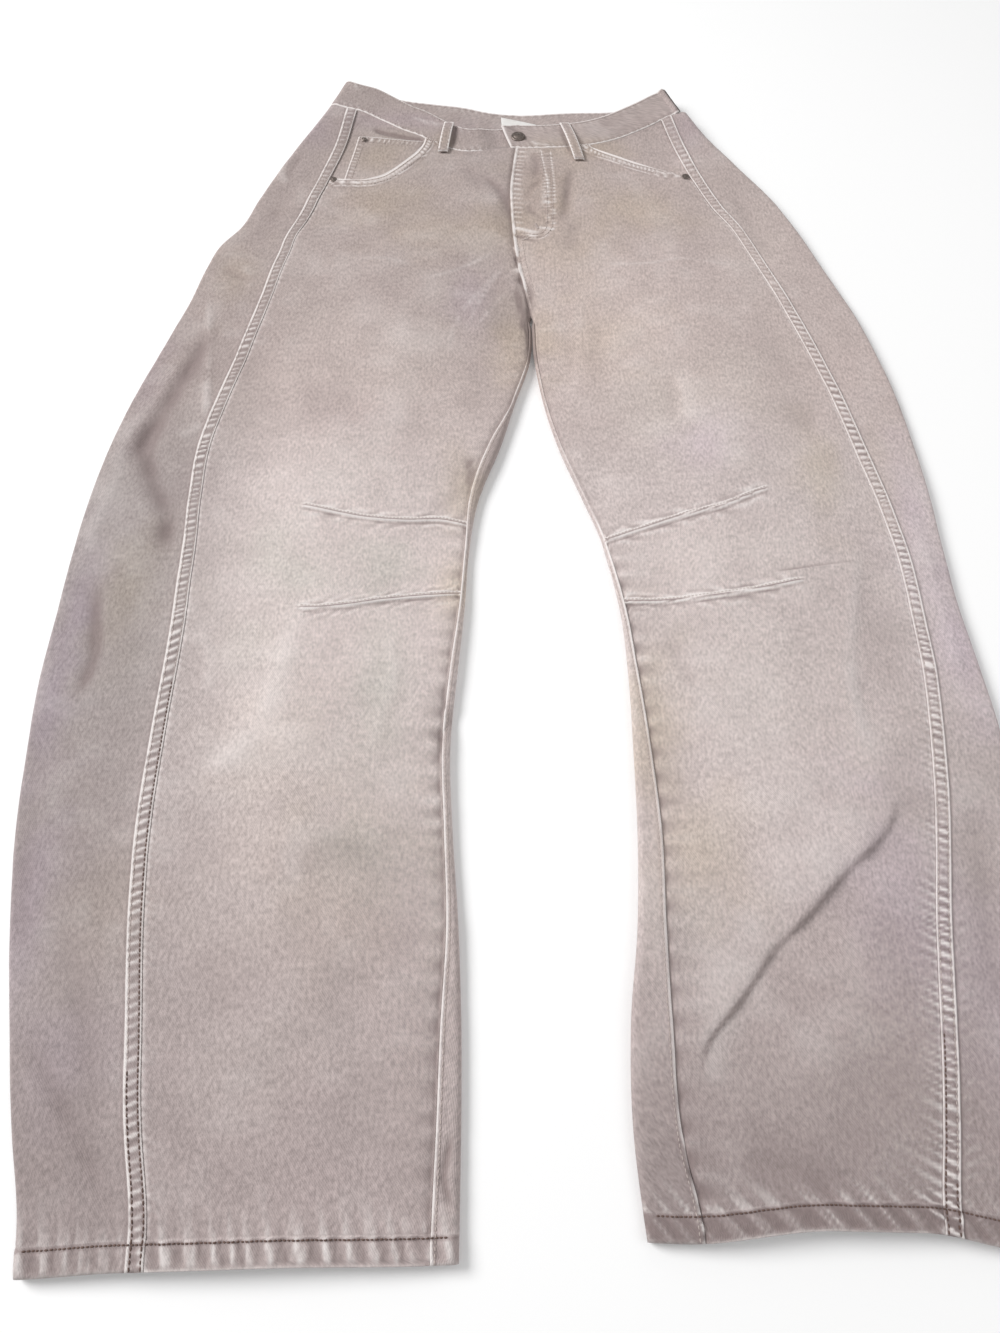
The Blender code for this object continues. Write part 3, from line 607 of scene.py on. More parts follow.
# painted light and shade by height, mixed with the wash's own tone: brightness over the panels, and over the strips
# outside the side seams
lightAndWashTrend = {
    "left": ((-90, 0.97, 0.77), (60, 1.04, 0.75), (230, 1.11, 0.66), (370, 1.2, 0.62), (520, 0.95, 0.64),
             (650, 0.79, 0.68), (800, 0.74, 0.68), (914, 0.7, 0.66)),
    "right": ((-80, 0.72, 0.82), (0, 0.85, 0.9), (150, 1.06, 0.95), (260, 1.02, 1.04), (380, 1.05, 1.08),
              (500, 1, 1.04), (650, 0.95, 0.96), (800, 0.85, 0.87), (914, 0.77, 0.78)),
}
warmTop = (1, 0.963, 0.945)
patchNames = ("x", "y", "across", "along", "share")
patches = {
    "light": (
        (-68, 576, 60, 70, 0.35), (-170, 590, 40, 60, 0.25), (-118, 440, 50, 45, 0.35),
        (-168, 230, 34, 70, 0.35), (-95, 210, 34, 60, 0.35), (163, 505, 60, 60, 0.35),
        (185, 260, 55, 60, 0.4), (140, 366, 50, 30, 0.3), (226, 366, 36, 26, 0.25),
        (158, 160, 34, 50, 0.35), (120, 620, 44, 40, 0.25), (-60, 700, 60, 40, 0.15),
        (240, 706, 30, 50, 0.5), (-38, 120, 12, 100, 0.7),
    ),
    "beige": (
        (-114, 768, 42, 32, 0.5), (-65, 727, 50, 34, 0.4), (0, 734, 34, 26, 0.5), (43, 782, 28, 50, 0.6),
        (132, 754, 48, 36, 0.55), (9, 596, 16, 40, 0.6), (39, 601, 16, 36, 0.45), (86, 596, 40, 40, 0.35),
        (-24, 441, 18, 30, 0.65), (-33, 345, 14, 30, 0.6), (106, 237, 20, 60, 0.65),
        (129, 146, 26, 40, 0.55), (254, 451, 16, 42, 0.5), (308, 441, 16, 40, 0.3),
        (-277, 345, 26, 44, 0.45), (-239, 675, 22, 40, 0.4), (-250, 110, 30, 40, 0.3),
        (-118, 838, 32, 30, 0.5), (-56, 862, 12, 24, 0.5), (100, 846, 30, 16, 0.45), (60, 700, 40, 40, 0.3),
        (-150, 200, 40, 60, 0.15), (60, 846, 40, 20, 0.4), (-105, 120, 50, 50, 0.3),
    ),
    "deep": (
        (40, 790, 24, 46, 0.9), (-128, 506, 34, 18, 0.5), (-246, 440, 18, 46, 0.5),
        (-100, 140, 46, 16, 0.6), (212, 50, 60, 56, 0.6), (160, -30, 50, 26, 0.6), (262, -30, 50, 50, 0.55),
        (-141, -30, 60, 26, 0.4), (-255, -30, 34, 44, 0.45), (-157, 60, 50, 44, 0.4),
        (-60, 90, 36, 30, 0.35), (270, 300, 22, 54, 0.4), (80, 505, 20, 40, 0.3), (-272, 150, 26, 60, 0.45),
        (-60, 30, 34, 60, 0.3), (226, 120, 26, 26, 0.5), (-210, 620, 26, 40, 0.25), (96, -40, 22, 50, 0.4),
        (-35, 880, 30, 20, 0.25), (-150, 890, 30, 20, 0.3), (120, 880, 50, 20, 0.3),
    ),
    "green": (
        (-174, 380, 22, 26, 0.5), (-149, 349, 26, 20, 0.55), (-86, 362, 22, 22, 0.6),
        (-84, 262, 18, 44, 0.6), (-91, 146, 26, 20, 0.55), (-182, 299, 22, 26, 0.3),
        (120, 520, 50, 40, 0.25), (-160, 30, 40, 50, 0.2), (205, 560, 36, 44, 0.2),
        (-22, -40, 14, 30, 0.25), (122, 100, 26, 30, 0.2),
    ),
    "lilac": (
        (-312, 334, 16, 50, 0.55), (-318, 250, 14, 60, 0.6), (-302, 115, 16, 60, 0.6),
        (-262, 21, 30, 34, 0.4), (334, 301, 22, 60, 0.55), (322, 420, 20, 60, 0.4), (-27, 642, 18, 40, 0.4),
        (164, 478, 26, 26, 0.4), (254, 115, 30, 60, 0.45), (-190, 880, 20, 30, 0.45),
        (190, 880, 20, 30, 0.35), (-90, 890, 60, 14, 0.35), (300, 60, 30, 70, 0.4),
        (-300, 560, 18, 60, 0.3),
    ),
}


def fromScreen(colour):
    c = np.array(colour, float) / 255
    return np.where(c <= 0.04045, c / 12.92, ((c + 0.055) / 1.055) ** 2.4)


def washAndShadeColour(x, y):
    colour = np.tile(fromScreen(palette["base"]), (x.size, 1)).reshape(x.shape + (3,))
    for tint, rows in patches.items():
        for row in rows:
            patch = dict(zip(patchNames, row))
            wobble = 1 + 0.35 * cloud(x, y, 19, int(abs(patch["x"]) + abs(patch["y"])))
            near = np.hypot((x - patch["x"]) / patch["across"], (y - patch["y"]) / patch["along"]) * wobble
            share = patch["share"] * patchStrength[tint] * np.exp(-near ** 2)
            colour = mix(colour, fromScreen(palette[tint]), share[..., None])
    # darker towards the hem: partly painted shade, partly the wash's darker tone
    low = 0.42 * (1 - smooth(-90, 330, y))
    colour = mix(colour, fromScreen(palette["deep"]), low[..., None])
    # painted light and shade, brightest about the knee, partly the wash's own tone
    trend = {}
    for side in sides:
        inside = (x - station(side, "seam", y)) * sign[side]
        trend[side] = mix(curve(lightAndWashTrend[side], 2, y), curve(lightAndWashTrend[side], 1, y), smooth(-36, 76, inside))
    warm = mix(1, np.array(warmTop), smooth(420, 560, y)[..., None])
    return colour * warm * np.where(x < centreLine(y), trend["left"], trend["right"])[..., None]


# materials

class Value:
    # a shader socket that takes part in sums
    def __init__(self, graph, link):
        self.graph = graph
        self.link = link

    def maths(self, operation, other, flipped=False):
        pair = (other, self) if flipped else (self, other)
        return self.graph.node("ShaderNodeMath", {"operation": operation}, dict(enumerate(pair)))

    def __add__(self, other):
        return self.maths("ADD", other)

    def __radd__(self, other):
        return self.maths("ADD", other, True)

    def __sub__(self, other):
        return self.maths("SUBTRACT", other)

    def __rsub__(self, other):
        return self.maths("SUBTRACT", other, True)

    def __mul__(self, other):
        return self.maths("MULTIPLY", other)

    def __rmul__(self, other):
        return self.maths("MULTIPLY", other, True)

    def clamp(self):
        return self.graph.node("ShaderNodeClamp", {}, {0: self})

    def sine(self):
        return self.graph.node("ShaderNodeMath", {"operation": "SINE"}, {0: self})


class Graph:
    # a node tree of a material or of a modifier
    def __init__(self, tree):
        self.tree = tree

    def node(self, kind, settings, sockets, output=0):
        made = self.tree.nodes.new(kind)
        for name, value in settings.items():
            setattr(made, name, value)
        for name, value in sockets.items():
            if isinstance(value, Value):
                self.tree.links.new(value.link, made.inputs[name])
            else:
                made.inputs[name].default_value = value
        return Value(self, made.outputs[output])

    def noise(self, vector, scale, detail, rough=0.5):
        return self.node("ShaderNodeTexNoise", {}, {"Vector": vector, "Scale": scale, "Detail": detail,
                                                    "Roughness": rough})

    def place(self):
        return self.node("ShaderNodeTexCoord", {}, {}, 3)

    def clothMap(self):
        uv = self.node("ShaderNodeUVMap", {"uv_map": "cloth"}, {})
        return (uv, *(self.node("ShaderNodeSeparateXYZ", {}, {0: uv}, k) for k in (0, 1)))

    def blend(self, factor, a, b, kind="MIX"):
        return self.node("ShaderNodeMix", {"data_type": "RGBA", "blend_type": kind},
                         {0: factor, 6: a, 7: b}, 2)


def newMaterial(name):
    material = bpy.data.materials.new(name)
    material.use_nodes = True
    shader = material.node_tree.nodes["Principled BSDF"]
    return material, Graph(material.node_tree), shader


def finishShader(graph, shader, colour, roughness, relief, strength, distance, fixed):
    # links colour, roughness and bump, and sets the shader's own fixed values
    raised = graph.node("ShaderNodeBump", {}, {"Strength": strength, "Distance": distance, "Height": relief})
    for name, value in (("Base Color", colour), ("Roughness", roughness), ("Normal", raised)):
        graph.tree.links.new(value.link, shader.inputs[name])
    setSockets(shader, fixed)


def setSockets(shader, fixed):
    for name, value in fixed.items():
        shader.inputs[name].default_value = value


def grey(value):
    return (value, value, value, 1)


denimFinish = {
    "twillPitch": 1.15,  # mm between the twill's diagonal lines
    "twill": 0.06,
    "grain": 0.62,
    "mottle": 0.15,
    # worn: the pale of worn edges and ridges, also of painted pale lines; dark: the colour of painted shade in
    # troughs, folds and under laps
    "worn": (0.86, 0.805, 0.785, 1),
    "dark": (0.20, 0.15, 0.145, 1),
    "relief": 0.00022,
    "sheen": 0.12,
}


def denimMaterial(name):
    finish = denimFinish
    material, graph, shader = newMaterial(name)
    uv, across, along = graph.clothMap()
    wash = graph.node("ShaderNodeAttribute", {"attribute_name": "wash"}, {})
    wear = graph.node("ShaderNodeAttribute", {"attribute_name": "wear"}, {}, 2)
    wander = graph.noise(uv, 160, 2)
    turns = 2 * math.pi / (finish["twillPitch"] * mm)
    diagonal = (across * (turns * 0.80) + along * (turns * 0.60) + wander * 5).sine()
    stretched = graph.node("ShaderNodeMapping", {}, {0: uv, 3: (1, 0.55, 1)})
    grain = graph.noise(stretched, 520, 3, 0.65)
    slub = graph.noise(stretched, 280, 2)
    mottle = graph.noise(graph.place(), 42, 5, 0.62)
    tint = graph.noise(graph.place(), 11, 3)

    speck = (grain - 0.5) * (finish["grain"] * 4.4) + (slub - 0.5) * (finish["grain"] * 1.3) \
        + (mottle - 0.5) * (finish["mottle"] * 3.6) + diagonal * finish["twill"] + 0.5
    colour = graph.blend(speck.clamp(), grey(0.78), grey(1.22))
    colour = graph.blend(1, wash, colour, "MULTIPLY")
    colour = graph.blend((tint * 1.6 - 0.45).clamp() * 0.35, colour,
                         graph.blend(1, colour, (1, 0.955, 0.98, 1), "MULTIPLY"))
    # pale where the cloth wears, dark painted shade in troughs, folds and under laps
    pale = (wear * (0.55 + grain * 0.9)).clamp()
    dark = ((wear * -1) * (0.5 + grain)).clamp()
    colour = graph.blend(pale * 0.85, colour, finish["worn"])
    colour = graph.blend(dark * 0.62, colour, finish["dark"])
    weave = diagonal * 0.35 + grain * 1.1 + slub * 0.5
    finishShader(graph, shader, colour, 0.86 + grain * 0.12, weave, 0.75, finish["relief"],
                 {"Sheen Weight": finish["sheen"], "Sheen Roughness": 0.5, "Specular IOR Level": 0.25})
    return material


def threadMaterial(name, colour, deep):
    material, graph, shader = newMaterial(name)
    fibre = graph.noise(graph.place(), 900, 3)
    fade = graph.noise(graph.place(), 60, 3)
    mixed = graph.blend((fibre * 0.6 + fade * 1.2 - 0.4).clamp(), (*deep, 1), (*colour, 1))
    finishShader(graph, shader, mixed, 0.62 + fibre * 0.25, fibre, 0.6, 0.0001, {})
    return material


def metalMaterial(name, colour, deep):
    material, graph, shader = newMaterial(name)
    tarnish = graph.noise(graph.place(), 420, 5, 0.65)
    scratch = graph.noise(graph.place(), 2200, 2)
    mixed = graph.blend((tarnish * 1.8 - 0.4).clamp(), (*deep, 1), (*colour, 1))
    roughness = (0.30 + (1 - tarnish) * 0.35 + scratch * 0.1).clamp()
    finishShader(graph, shader, mixed, roughness, tarnish + scratch, 0.4, 0.0001, {"Metallic": 0.9})
    return material


def labelMaterial(name):
    material, graph, shader = newMaterial(name)
    uv, across, along = graph.clothMap()
    turns = 2 * math.pi / (0.45 * mm)
    weave = (across * turns).sine() * (along * turns).sine()
    soil = graph.noise(uv, 110, 4)
    mixed = graph.blend((soil * 1.4 - 0.35).clamp(), (0.72, 0.69, 0.66, 1), (0.88, 0.87, 0.86, 1))
    finishShader(graph, shader, mixed, 0.55 + soil * 0.2, weave, 0.5, 0.00006, {"Sheen Weight": 0.2})
    return material


denim = denimMaterial("washed_denim")
paleThread = threadMaterial("pale_thread", (0.62, 0.54, 0.50), (0.40, 0.33, 0.31))
brownThread = threadMaterial("brown_thread", (0.17, 0.105, 0.085), (0.09, 0.055, 0.045))
metal = metalMaterial("worn_metal", (0.36, 0.30, 0.27), (0.09, 0.072, 0.066))
labelCloth = labelMaterial("bare_label")
print("materials made")


# making cloth

def addObject(name, data):
    made = bpy.data.objects.new(name, data)
    bpy.context.scene.collection.objects.link(made)
    return made


def toTable(points):
    # millimetres on the table to metres in the frame
    return ((points - np.array([*frameShift, 0])) * mm).tolist()


def joined(x, y, z):
    return np.stack([x, y, z], axis=-1)


def clothPiece(name, x, y, z, tone, wall, flip=False, colour=None, material=denim):
    # x, y and z are rows of columns on the outer face, in millimetres; the wall goes inwards
    if colour is None:
        colour = washAndShadeColour(x, y)
    points = joined(x, y, z)
    rows, columns = points.shape[:2]
    flat = points.reshape(-1, 3)
    index = np.arange(rows * columns).reshape(rows, columns)
    quads = np.stack([index[:-1, :-1], index[:-1, 1:], index[1:, 1:], index[1:, :-1]], axis=-1).reshape(-1, 4)
    if flip:
        quads = quads[:, ::-1]
    mesh = bpy.data.meshes.new(name)
    mesh.from_pydata(toTable(flat), [], quads.tolist())

    run = np.linalg.norm(np.diff(points, axis=1), axis=2)
    across = np.concatenate([np.zeros((rows, 1)), np.cumsum(run, axis=1)], axis=1)
    across = across * np.sign(points[0, 3, 0] - points[0, 0, 0]) + points[:, :1, 0]
    uv = np.stack([across, points[..., 1]], axis=-1).reshape(-1, 2) * mm
    corners = np.zeros(len(mesh.loops), np.int32)
    mesh.loops.foreach_get("vertex_index", corners)
    mesh.uv_layers.new(name="cloth").data.foreach_set("uv", uv[corners].astype(np.float32).ravel())

    # tone per point: above 0 pale where the cloth wears, below 0 painted shade
    wear = mesh.attributes.new("wear", "FLOAT", "POINT")
    wear.data.foreach_set("value", np.clip(tone, -cloth["wear"], cloth["wear"]).astype(np.float32).ravel())
    wash = mesh.attributes.new("wash", "FLOAT_COLOR", "POINT")
    rgba = np.concatenate([colour.reshape(-1, 3), np.ones((rows * columns, 1))], axis=1)
    wash.data.foreach_set("color", rgba.astype(np.float32).ravel())
    mesh.materials.append(material)
    mesh.shade_smooth()
    piece = addObject(name, mesh)
    solid = piece.modifiers.new("wall", "SOLIDIFY")
    solid.thickness = wall * mm
    solid.offset = -1
    solid.use_even_offset = False
    return piece


def hemShape(side, above, x):
    # the turned hem: its rise, its slanting ropes, and the puckers over its stitches
    body = 1 - smooth(hem["depth"] - hem["step"] / 2, hem["depth"] + hem["step"] / 2, above)
    number = sides.index(side)
    slant = hem["slant"][side] * above
    wave = ripple(x, hem["ropePitch"][side], 60 + number, slant)
    fine = ripple(x, 5.4, 62 + number, slant)
    onHem = body * smooth(0, 4, above)
    over = smooth(hem["depth"], hem["depth"] + 2, above) * np.exp(-np.maximum(above - hem["depth"], 0) / 7)
    z = hem["rise"] * body + hem["rope"] * wave * (onHem + 0.8 * over) + 0.14 * fine * (onHem + over)
    z -= 0.35 * bump(above - hem["stitch"], 0.9)
    # rope and pucker peaks pale as wear, troughs dark as painted shade
    tone = hem["contrast"][side] * (wave * (onHem + 0.7 * over) + 0.5 * fine * (onHem + over))
    tone += 0.2 * bump(above - hem["depth"], 1) + 0.4 * bump(above, 1.3) - 0.8 * bump(above - hem["stitch"], 0.9)
    tone -= hem["shade"][side] * onHem
    return z, tone


def underBand(x, y, z, tone, steps, top):
    # adds rows that run on under the waistband; steps hold how far each one rises and drops
    rises, drops = (np.array(step)[:, None] for step in zip(*steps))
    level = 0 * rises
    # the rows under the waistband are painted 0.5 darker, as its shade
    return (chain(x, x[-1:] + level), chain(y, y[-1:] + rises * top),
            chain(z, np.maximum(z[-1:] - drops * top, 0)), chain(tone, tone[-1:] - 0.5 + level))


# front panels

frontPanel = {
    "rowStep": 2.1,
    "columns": 54,
    "startColumns": (0.6, 1.4, 2.4, 3.6, 5, 6.4, 7.6, 8.8, 10.2),  # closer ones, in from the side seam
    "endColumns": (0.6, 1.4, 2.4, 3.6),  # and in from the inseam and the fly
    "even": (11, 4.5),  # how far in from the two edges the even columns start
    "lapDrop": 0.3,  # how far a lapped edge sinks beside the seam band
    "lapUnder": 1.3,
    "flyDrop": 0.9,
    "inseamDrop": 0.8,
    "inseamUnder": 1.3,
    "flyRise": 0.55,
    "inseamPitch": 17,
    "pucker": {"left": 0.08, "right": 0.5},
    "turnRows": 9,
    "scoopSteps": 60,
    "scoopRows": (2, 7.6),  # topstitch rows, in from the scoop's edge
    "scoopLow": 760,
    "underBand": ((1, 0.6), (2.2, 1.2), (4.2, 1.5)),
}
jStitch = (
    ((39, 842), (42, 809), (44, 788), (44, 740), (41, 725), (33, 721), (20, 722.5)),
    ((48, 842), (50, 788), (49, 740), (47, 727), (40, 719), (32, 717.5), (20, 719)),
)


def frontPlan(side):
    # plan of the two edges, each row's share of the scoop and of the side seam, its height over the hem's edge,
    # and its height on the inner fold
    low, high = denseRows(side, frontPanel["rowStep"], scoopRow, True)
    sx, sy = frontStart(side, low, high)
    ex, ey = frontEnd(side, low, high)
    turn = shares(frontPanel["turnRows"])[1:]
    share = shares(frontPanel["scoopSteps"])
    scoopX, scoopY = scoopPoint(side, share)
    upHigh = mix(high[-1], waist["top"], (share * 7 + 1) / 8)
    turnHigh = mix(high[-1], upHigh[0], turn)
    upX, upY = frontEnd(side, np.full(share.shape, scoopRow), upHigh)
    turnX, turnY = frontEnd(side, np.full(turn.shape, scoopRow), turnHigh)
    sx = chain(sx, mix(sx[-1], scoopX[0], turn), scoopX[1:])
    sy = chain(sy, mix(sy[-1], scoopY[0], turn), scoopY[1:])
    ex = chain(ex, turnX, upX[1:])
    ey = chain(ey, turnY, upY[1:])
    waistShare = chain(np.zeros(low.size + turn.size), share[1:])
    seamed = chain(np.ones(low.shape), 1 - turn, np.zeros(share[1:].shape))
    above = chain(low - low[0], np.full(turn.size + share.size - 1, 900))
    return sx, sy, ex, ey, waistShare, seamed, above, chain(high, turnHigh, upHigh[1:])


# these four change z and tone in place

def seamPuckers(side, y, z, tone, fromSeam, seamed):
    # puckers beside the side seam: faint on the left leg, well out into the cloth low on the right one
    number = sides.index(side)
    lower = 1 - smooth(60, 420, y)
    strength = 0.16 + frontPanel["pucker"][side] * lower
    spread = 4 + 4 * lower * number
    wave = ripple(y, seamBand["ladderPitch"], 20 + number, 0.5 * fromSeam * sign[side])
    window = seamed * ease((fromSeam + 1) / 2) * np.exp(-np.maximum(fromSeam, 0) / spread)
    z += strength * wave * window
    # pucker peaks pale as wear, troughs dark as painted shade
    tone += 1.5 * strength * wave * window


def inseamDents(side, y, z, tone, fromEnd, onLeg):
    wave = ripple(y, frontPanel["inseamPitch"], 80 + sides.index(side))
    window = onLeg * (1 - smooth(340, 400, y) * 0.7) * ease(fromEnd / 1.5)
    window = window * np.exp(-np.maximum(fromEnd - 2, 0) / 7)
    z += 0.5 * (wave - 0.5) * window
    tone += (0.6 * wave - 0.4) * window
    # painted shade along the panel's edge where it laps the inner strip
    tone -= 0.35 * onLeg * bump(fromEnd - 1, 1.2)


def scoopEdge(side, x, y, z, tone):
    # pocket scoop: rolled edge with two topstitch rows
    s = sign[side]
    scoopLine = pairs(*scoopPoint(side, shares(40)))
    start = np.array([[scoopLine[0, 0] - s * 14, scoopLine[0, 1] + 0.5]])
    near, left, along = lineCoords(np.vstack([start, scoopLine]), x, y, 14)[:3]
    inside = np.abs(left)
    high = np.where(y[near] > frontPanel["scoopLow"], 1, 0)
    rows = frontPanel["scoopRows"]
    ridge = smooth(0, 1.2, inside) * (1 - smooth(rows[1] + 0.6, rows[1] + 2, inside))
    wave = ripple(along, 4.3, 90 + sides.index(side), 0.4 * inside)
    between = bump(inside - (rows[0] + rows[1]) / 2, 2.6)
    z[near] += high * (0.9 * ridge - 0.35 * bump(inside - rows[0], 0.7) - 0.35 * bump(inside - rows[1], 0.7)
                       + 0.3 * wave * between)
    # pale worn edge; pucker peaks pale as wear, troughs dark as painted shade
    tone[near] += high * (1.3 * bump(inside - 0.5, 1) + 0.75 * between * (0.6 + wave)
                          - 0.6 * bump(inside - rows[0], 0.7) - 0.55 * bump(inside - rows[1], 0.7)
                          + 0.7 * bump(inside - rows[1] - 1.4, 0.8) - 0.35 * bump(inside - rows[1] - 3.2, 1.2))


def flyEdge(side, x, y, z, tone, fromEnd, upper):
    # the right front laps over the left, with a worn edge and a double J of stitches
    if side == "right":
        tone += upper * 1.6 * bump(fromEnd - 0.4, 1.1) * (0.8 + 0.4 * cloud(y, y * 0, 5, 17))
        z -= upper * 0.3 * bump(fromEnd - 2.2, 0.7)
        wave = ripple(y, 6.8, 95, 0.12 * fromEnd)
        window = upper * smooth(718, 735, y) * smooth(1, 3, fromEnd) * (1 - smooth(6, 13, fromEnd))
        z += 0.4 * wave * window
        # pucker peaks pale as wear, troughs dark as painted shade
        tone += 0.75 * wave * window
        for row, path in enumerate(jStitch):
            near, left, along = lineCoords(smoothLine(path), x, y, 8)[:3]
            z[near] -= 0.35 * bump(left, 0.8)
            tone[near] += 0.6 * bump(left - 1.4, 0.8) - 0.5 * bump(left, 0.7)
            wave = ripple(along, 4.6, 97 + row)
            z[near] += 0.2 * wave * bump(left, 3)
            tone[near] += 0.5 * wave * bump(left, 3)
    else:
        # painted shade on the left front under the fly's lap
        tone -= upper * 0.55 * bump(fromEnd - 1, 2.2)


def frontPiece(side):
    sx, sy, ex, ey, waistShare, seamed, above, high = frontPlan(side)
    wide = np.hypot(ex - sx, ey - sy)
    wrapped = wrapShare(high)
    strip = reach(side, high) - inseamReach(side, high)
    tuckIn = mix(cloth["tuck"] * (side == "left"), np.minimum(cloth["tuck"], strip - 0.6), wrapped)
    startIn, endIn = frontPanel["even"]
    columns = [share * cloth["tuck"] * seamed / wide for share in (-1, -0.5)]
    columns += [offset / wide for offset in (0, *frontPanel["startColumns"])]
    columns += [mix(startIn / wide, 1 - endIn / wide, t) for t in shares(frontPanel["columns"])[1:-1]]
    columns += [1 - offset / wide for offset in (*frontPanel["endColumns"][::-1], 0)]
    columns += [1 + share * (tuckIn + cloth["centreGap"] * (1 - wrapped)) / wide for share in (0.5, 1)]
    t = np.stack(columns, axis=1)

    x = mix(sx[:, None], ex[:, None], t)
    crestY = scoopPoint(side, 1)[1]
    chord = mix(crestY, waistY(side, "front", 1), t)
    y = mix((sy - hemLift(side, sx, sy))[:, None], (ey - hemLift(side, ex, ey))[:, None], t)
    y = y + hemLift(side, x, y) + waistShare[:, None] ** 2 * (waistSeam(side, x) - chord)
    w = fromFold(side, x, y)
    z = swell(side, w, y) - foldDrop(side, w, y)
    relief, tone = clothRelief(x, y)
    dartZ, dartTone = dartRelief(x, y)
    hemZ, hemTone = hemShape(side, above[:, None] + 0 * x, x)
    z += relief + dartZ + hemZ
    tone += dartTone + hemTone

    fromSeam = t * wide[:, None]
    fromEnd = (1 - t) * wide[:, None]
    lap = frontPanel["lapDrop"] * (1 - ease(fromSeam / 3.2)) + frontPanel["lapUnder"] * ease(-fromSeam / 2)
    z -= seamed[:, None] * lap
    # painted pale line on the front panel's edge by the seam band, lifting its shadow
    tone += 0.3 * seamed[:, None] * bump(fromSeam - 0.6, 1.2)
    onLeg = wrapped[:, None]
    drop = np.where(side == "left", frontPanel["flyDrop"], -frontPanel["flyRise"])
    z -= mix(drop, frontPanel["inseamDrop"], onLeg) * (1 - ease(fromEnd / 3.6))
    z -= onLeg * frontPanel["inseamUnder"] * ease(-fromEnd / 1.5)

    seamPuckers(side, y, z, tone, fromSeam, seamed[:, None])
    inseamDents(side, y, z, tone, fromEnd, onLeg)
    scoopEdge(side, x, y, z, tone)
    flyEdge(side, x, y, z, tone, fromEnd, 1 - onLeg)
    x, y, z, tone = underBand(x, y, z, tone, frontPanel["underBand"], 1)
    return clothPiece("front_panel_" + side, x, y, z, tone, cloth["wall"], side == "right")


# back panels, which wrap round both folds

backPanel = {
    "rowStep": 1.9,
    "bandColumns": (0, 0.5, 1.1, 1.7, 2.4, 3.4, 4.6, 5.8, 6.8, 7.6, 8.2, 8.9, 9.5, 9.9, 10.2, 10.5, 11.2, 12.6),
    "stripColumns": 22,
    "underColumns": 11,
    "underEnd": 26,  # how far from the inner edge the underside's columns end
    "pucker": {"left": 0.12, "right": 0.5},
    "edgeFade": {"left": 0.35, "right": 0.8},  # how much duller the inner edge is above the upper dart
    "innerColumns": 17,
    "innerWide": 22,  # how far the inner columns reach above the crotch, where they lie flat
    "underBand": ((1, 1.3), (2, 2.1), (3.4, 2.3)),
}


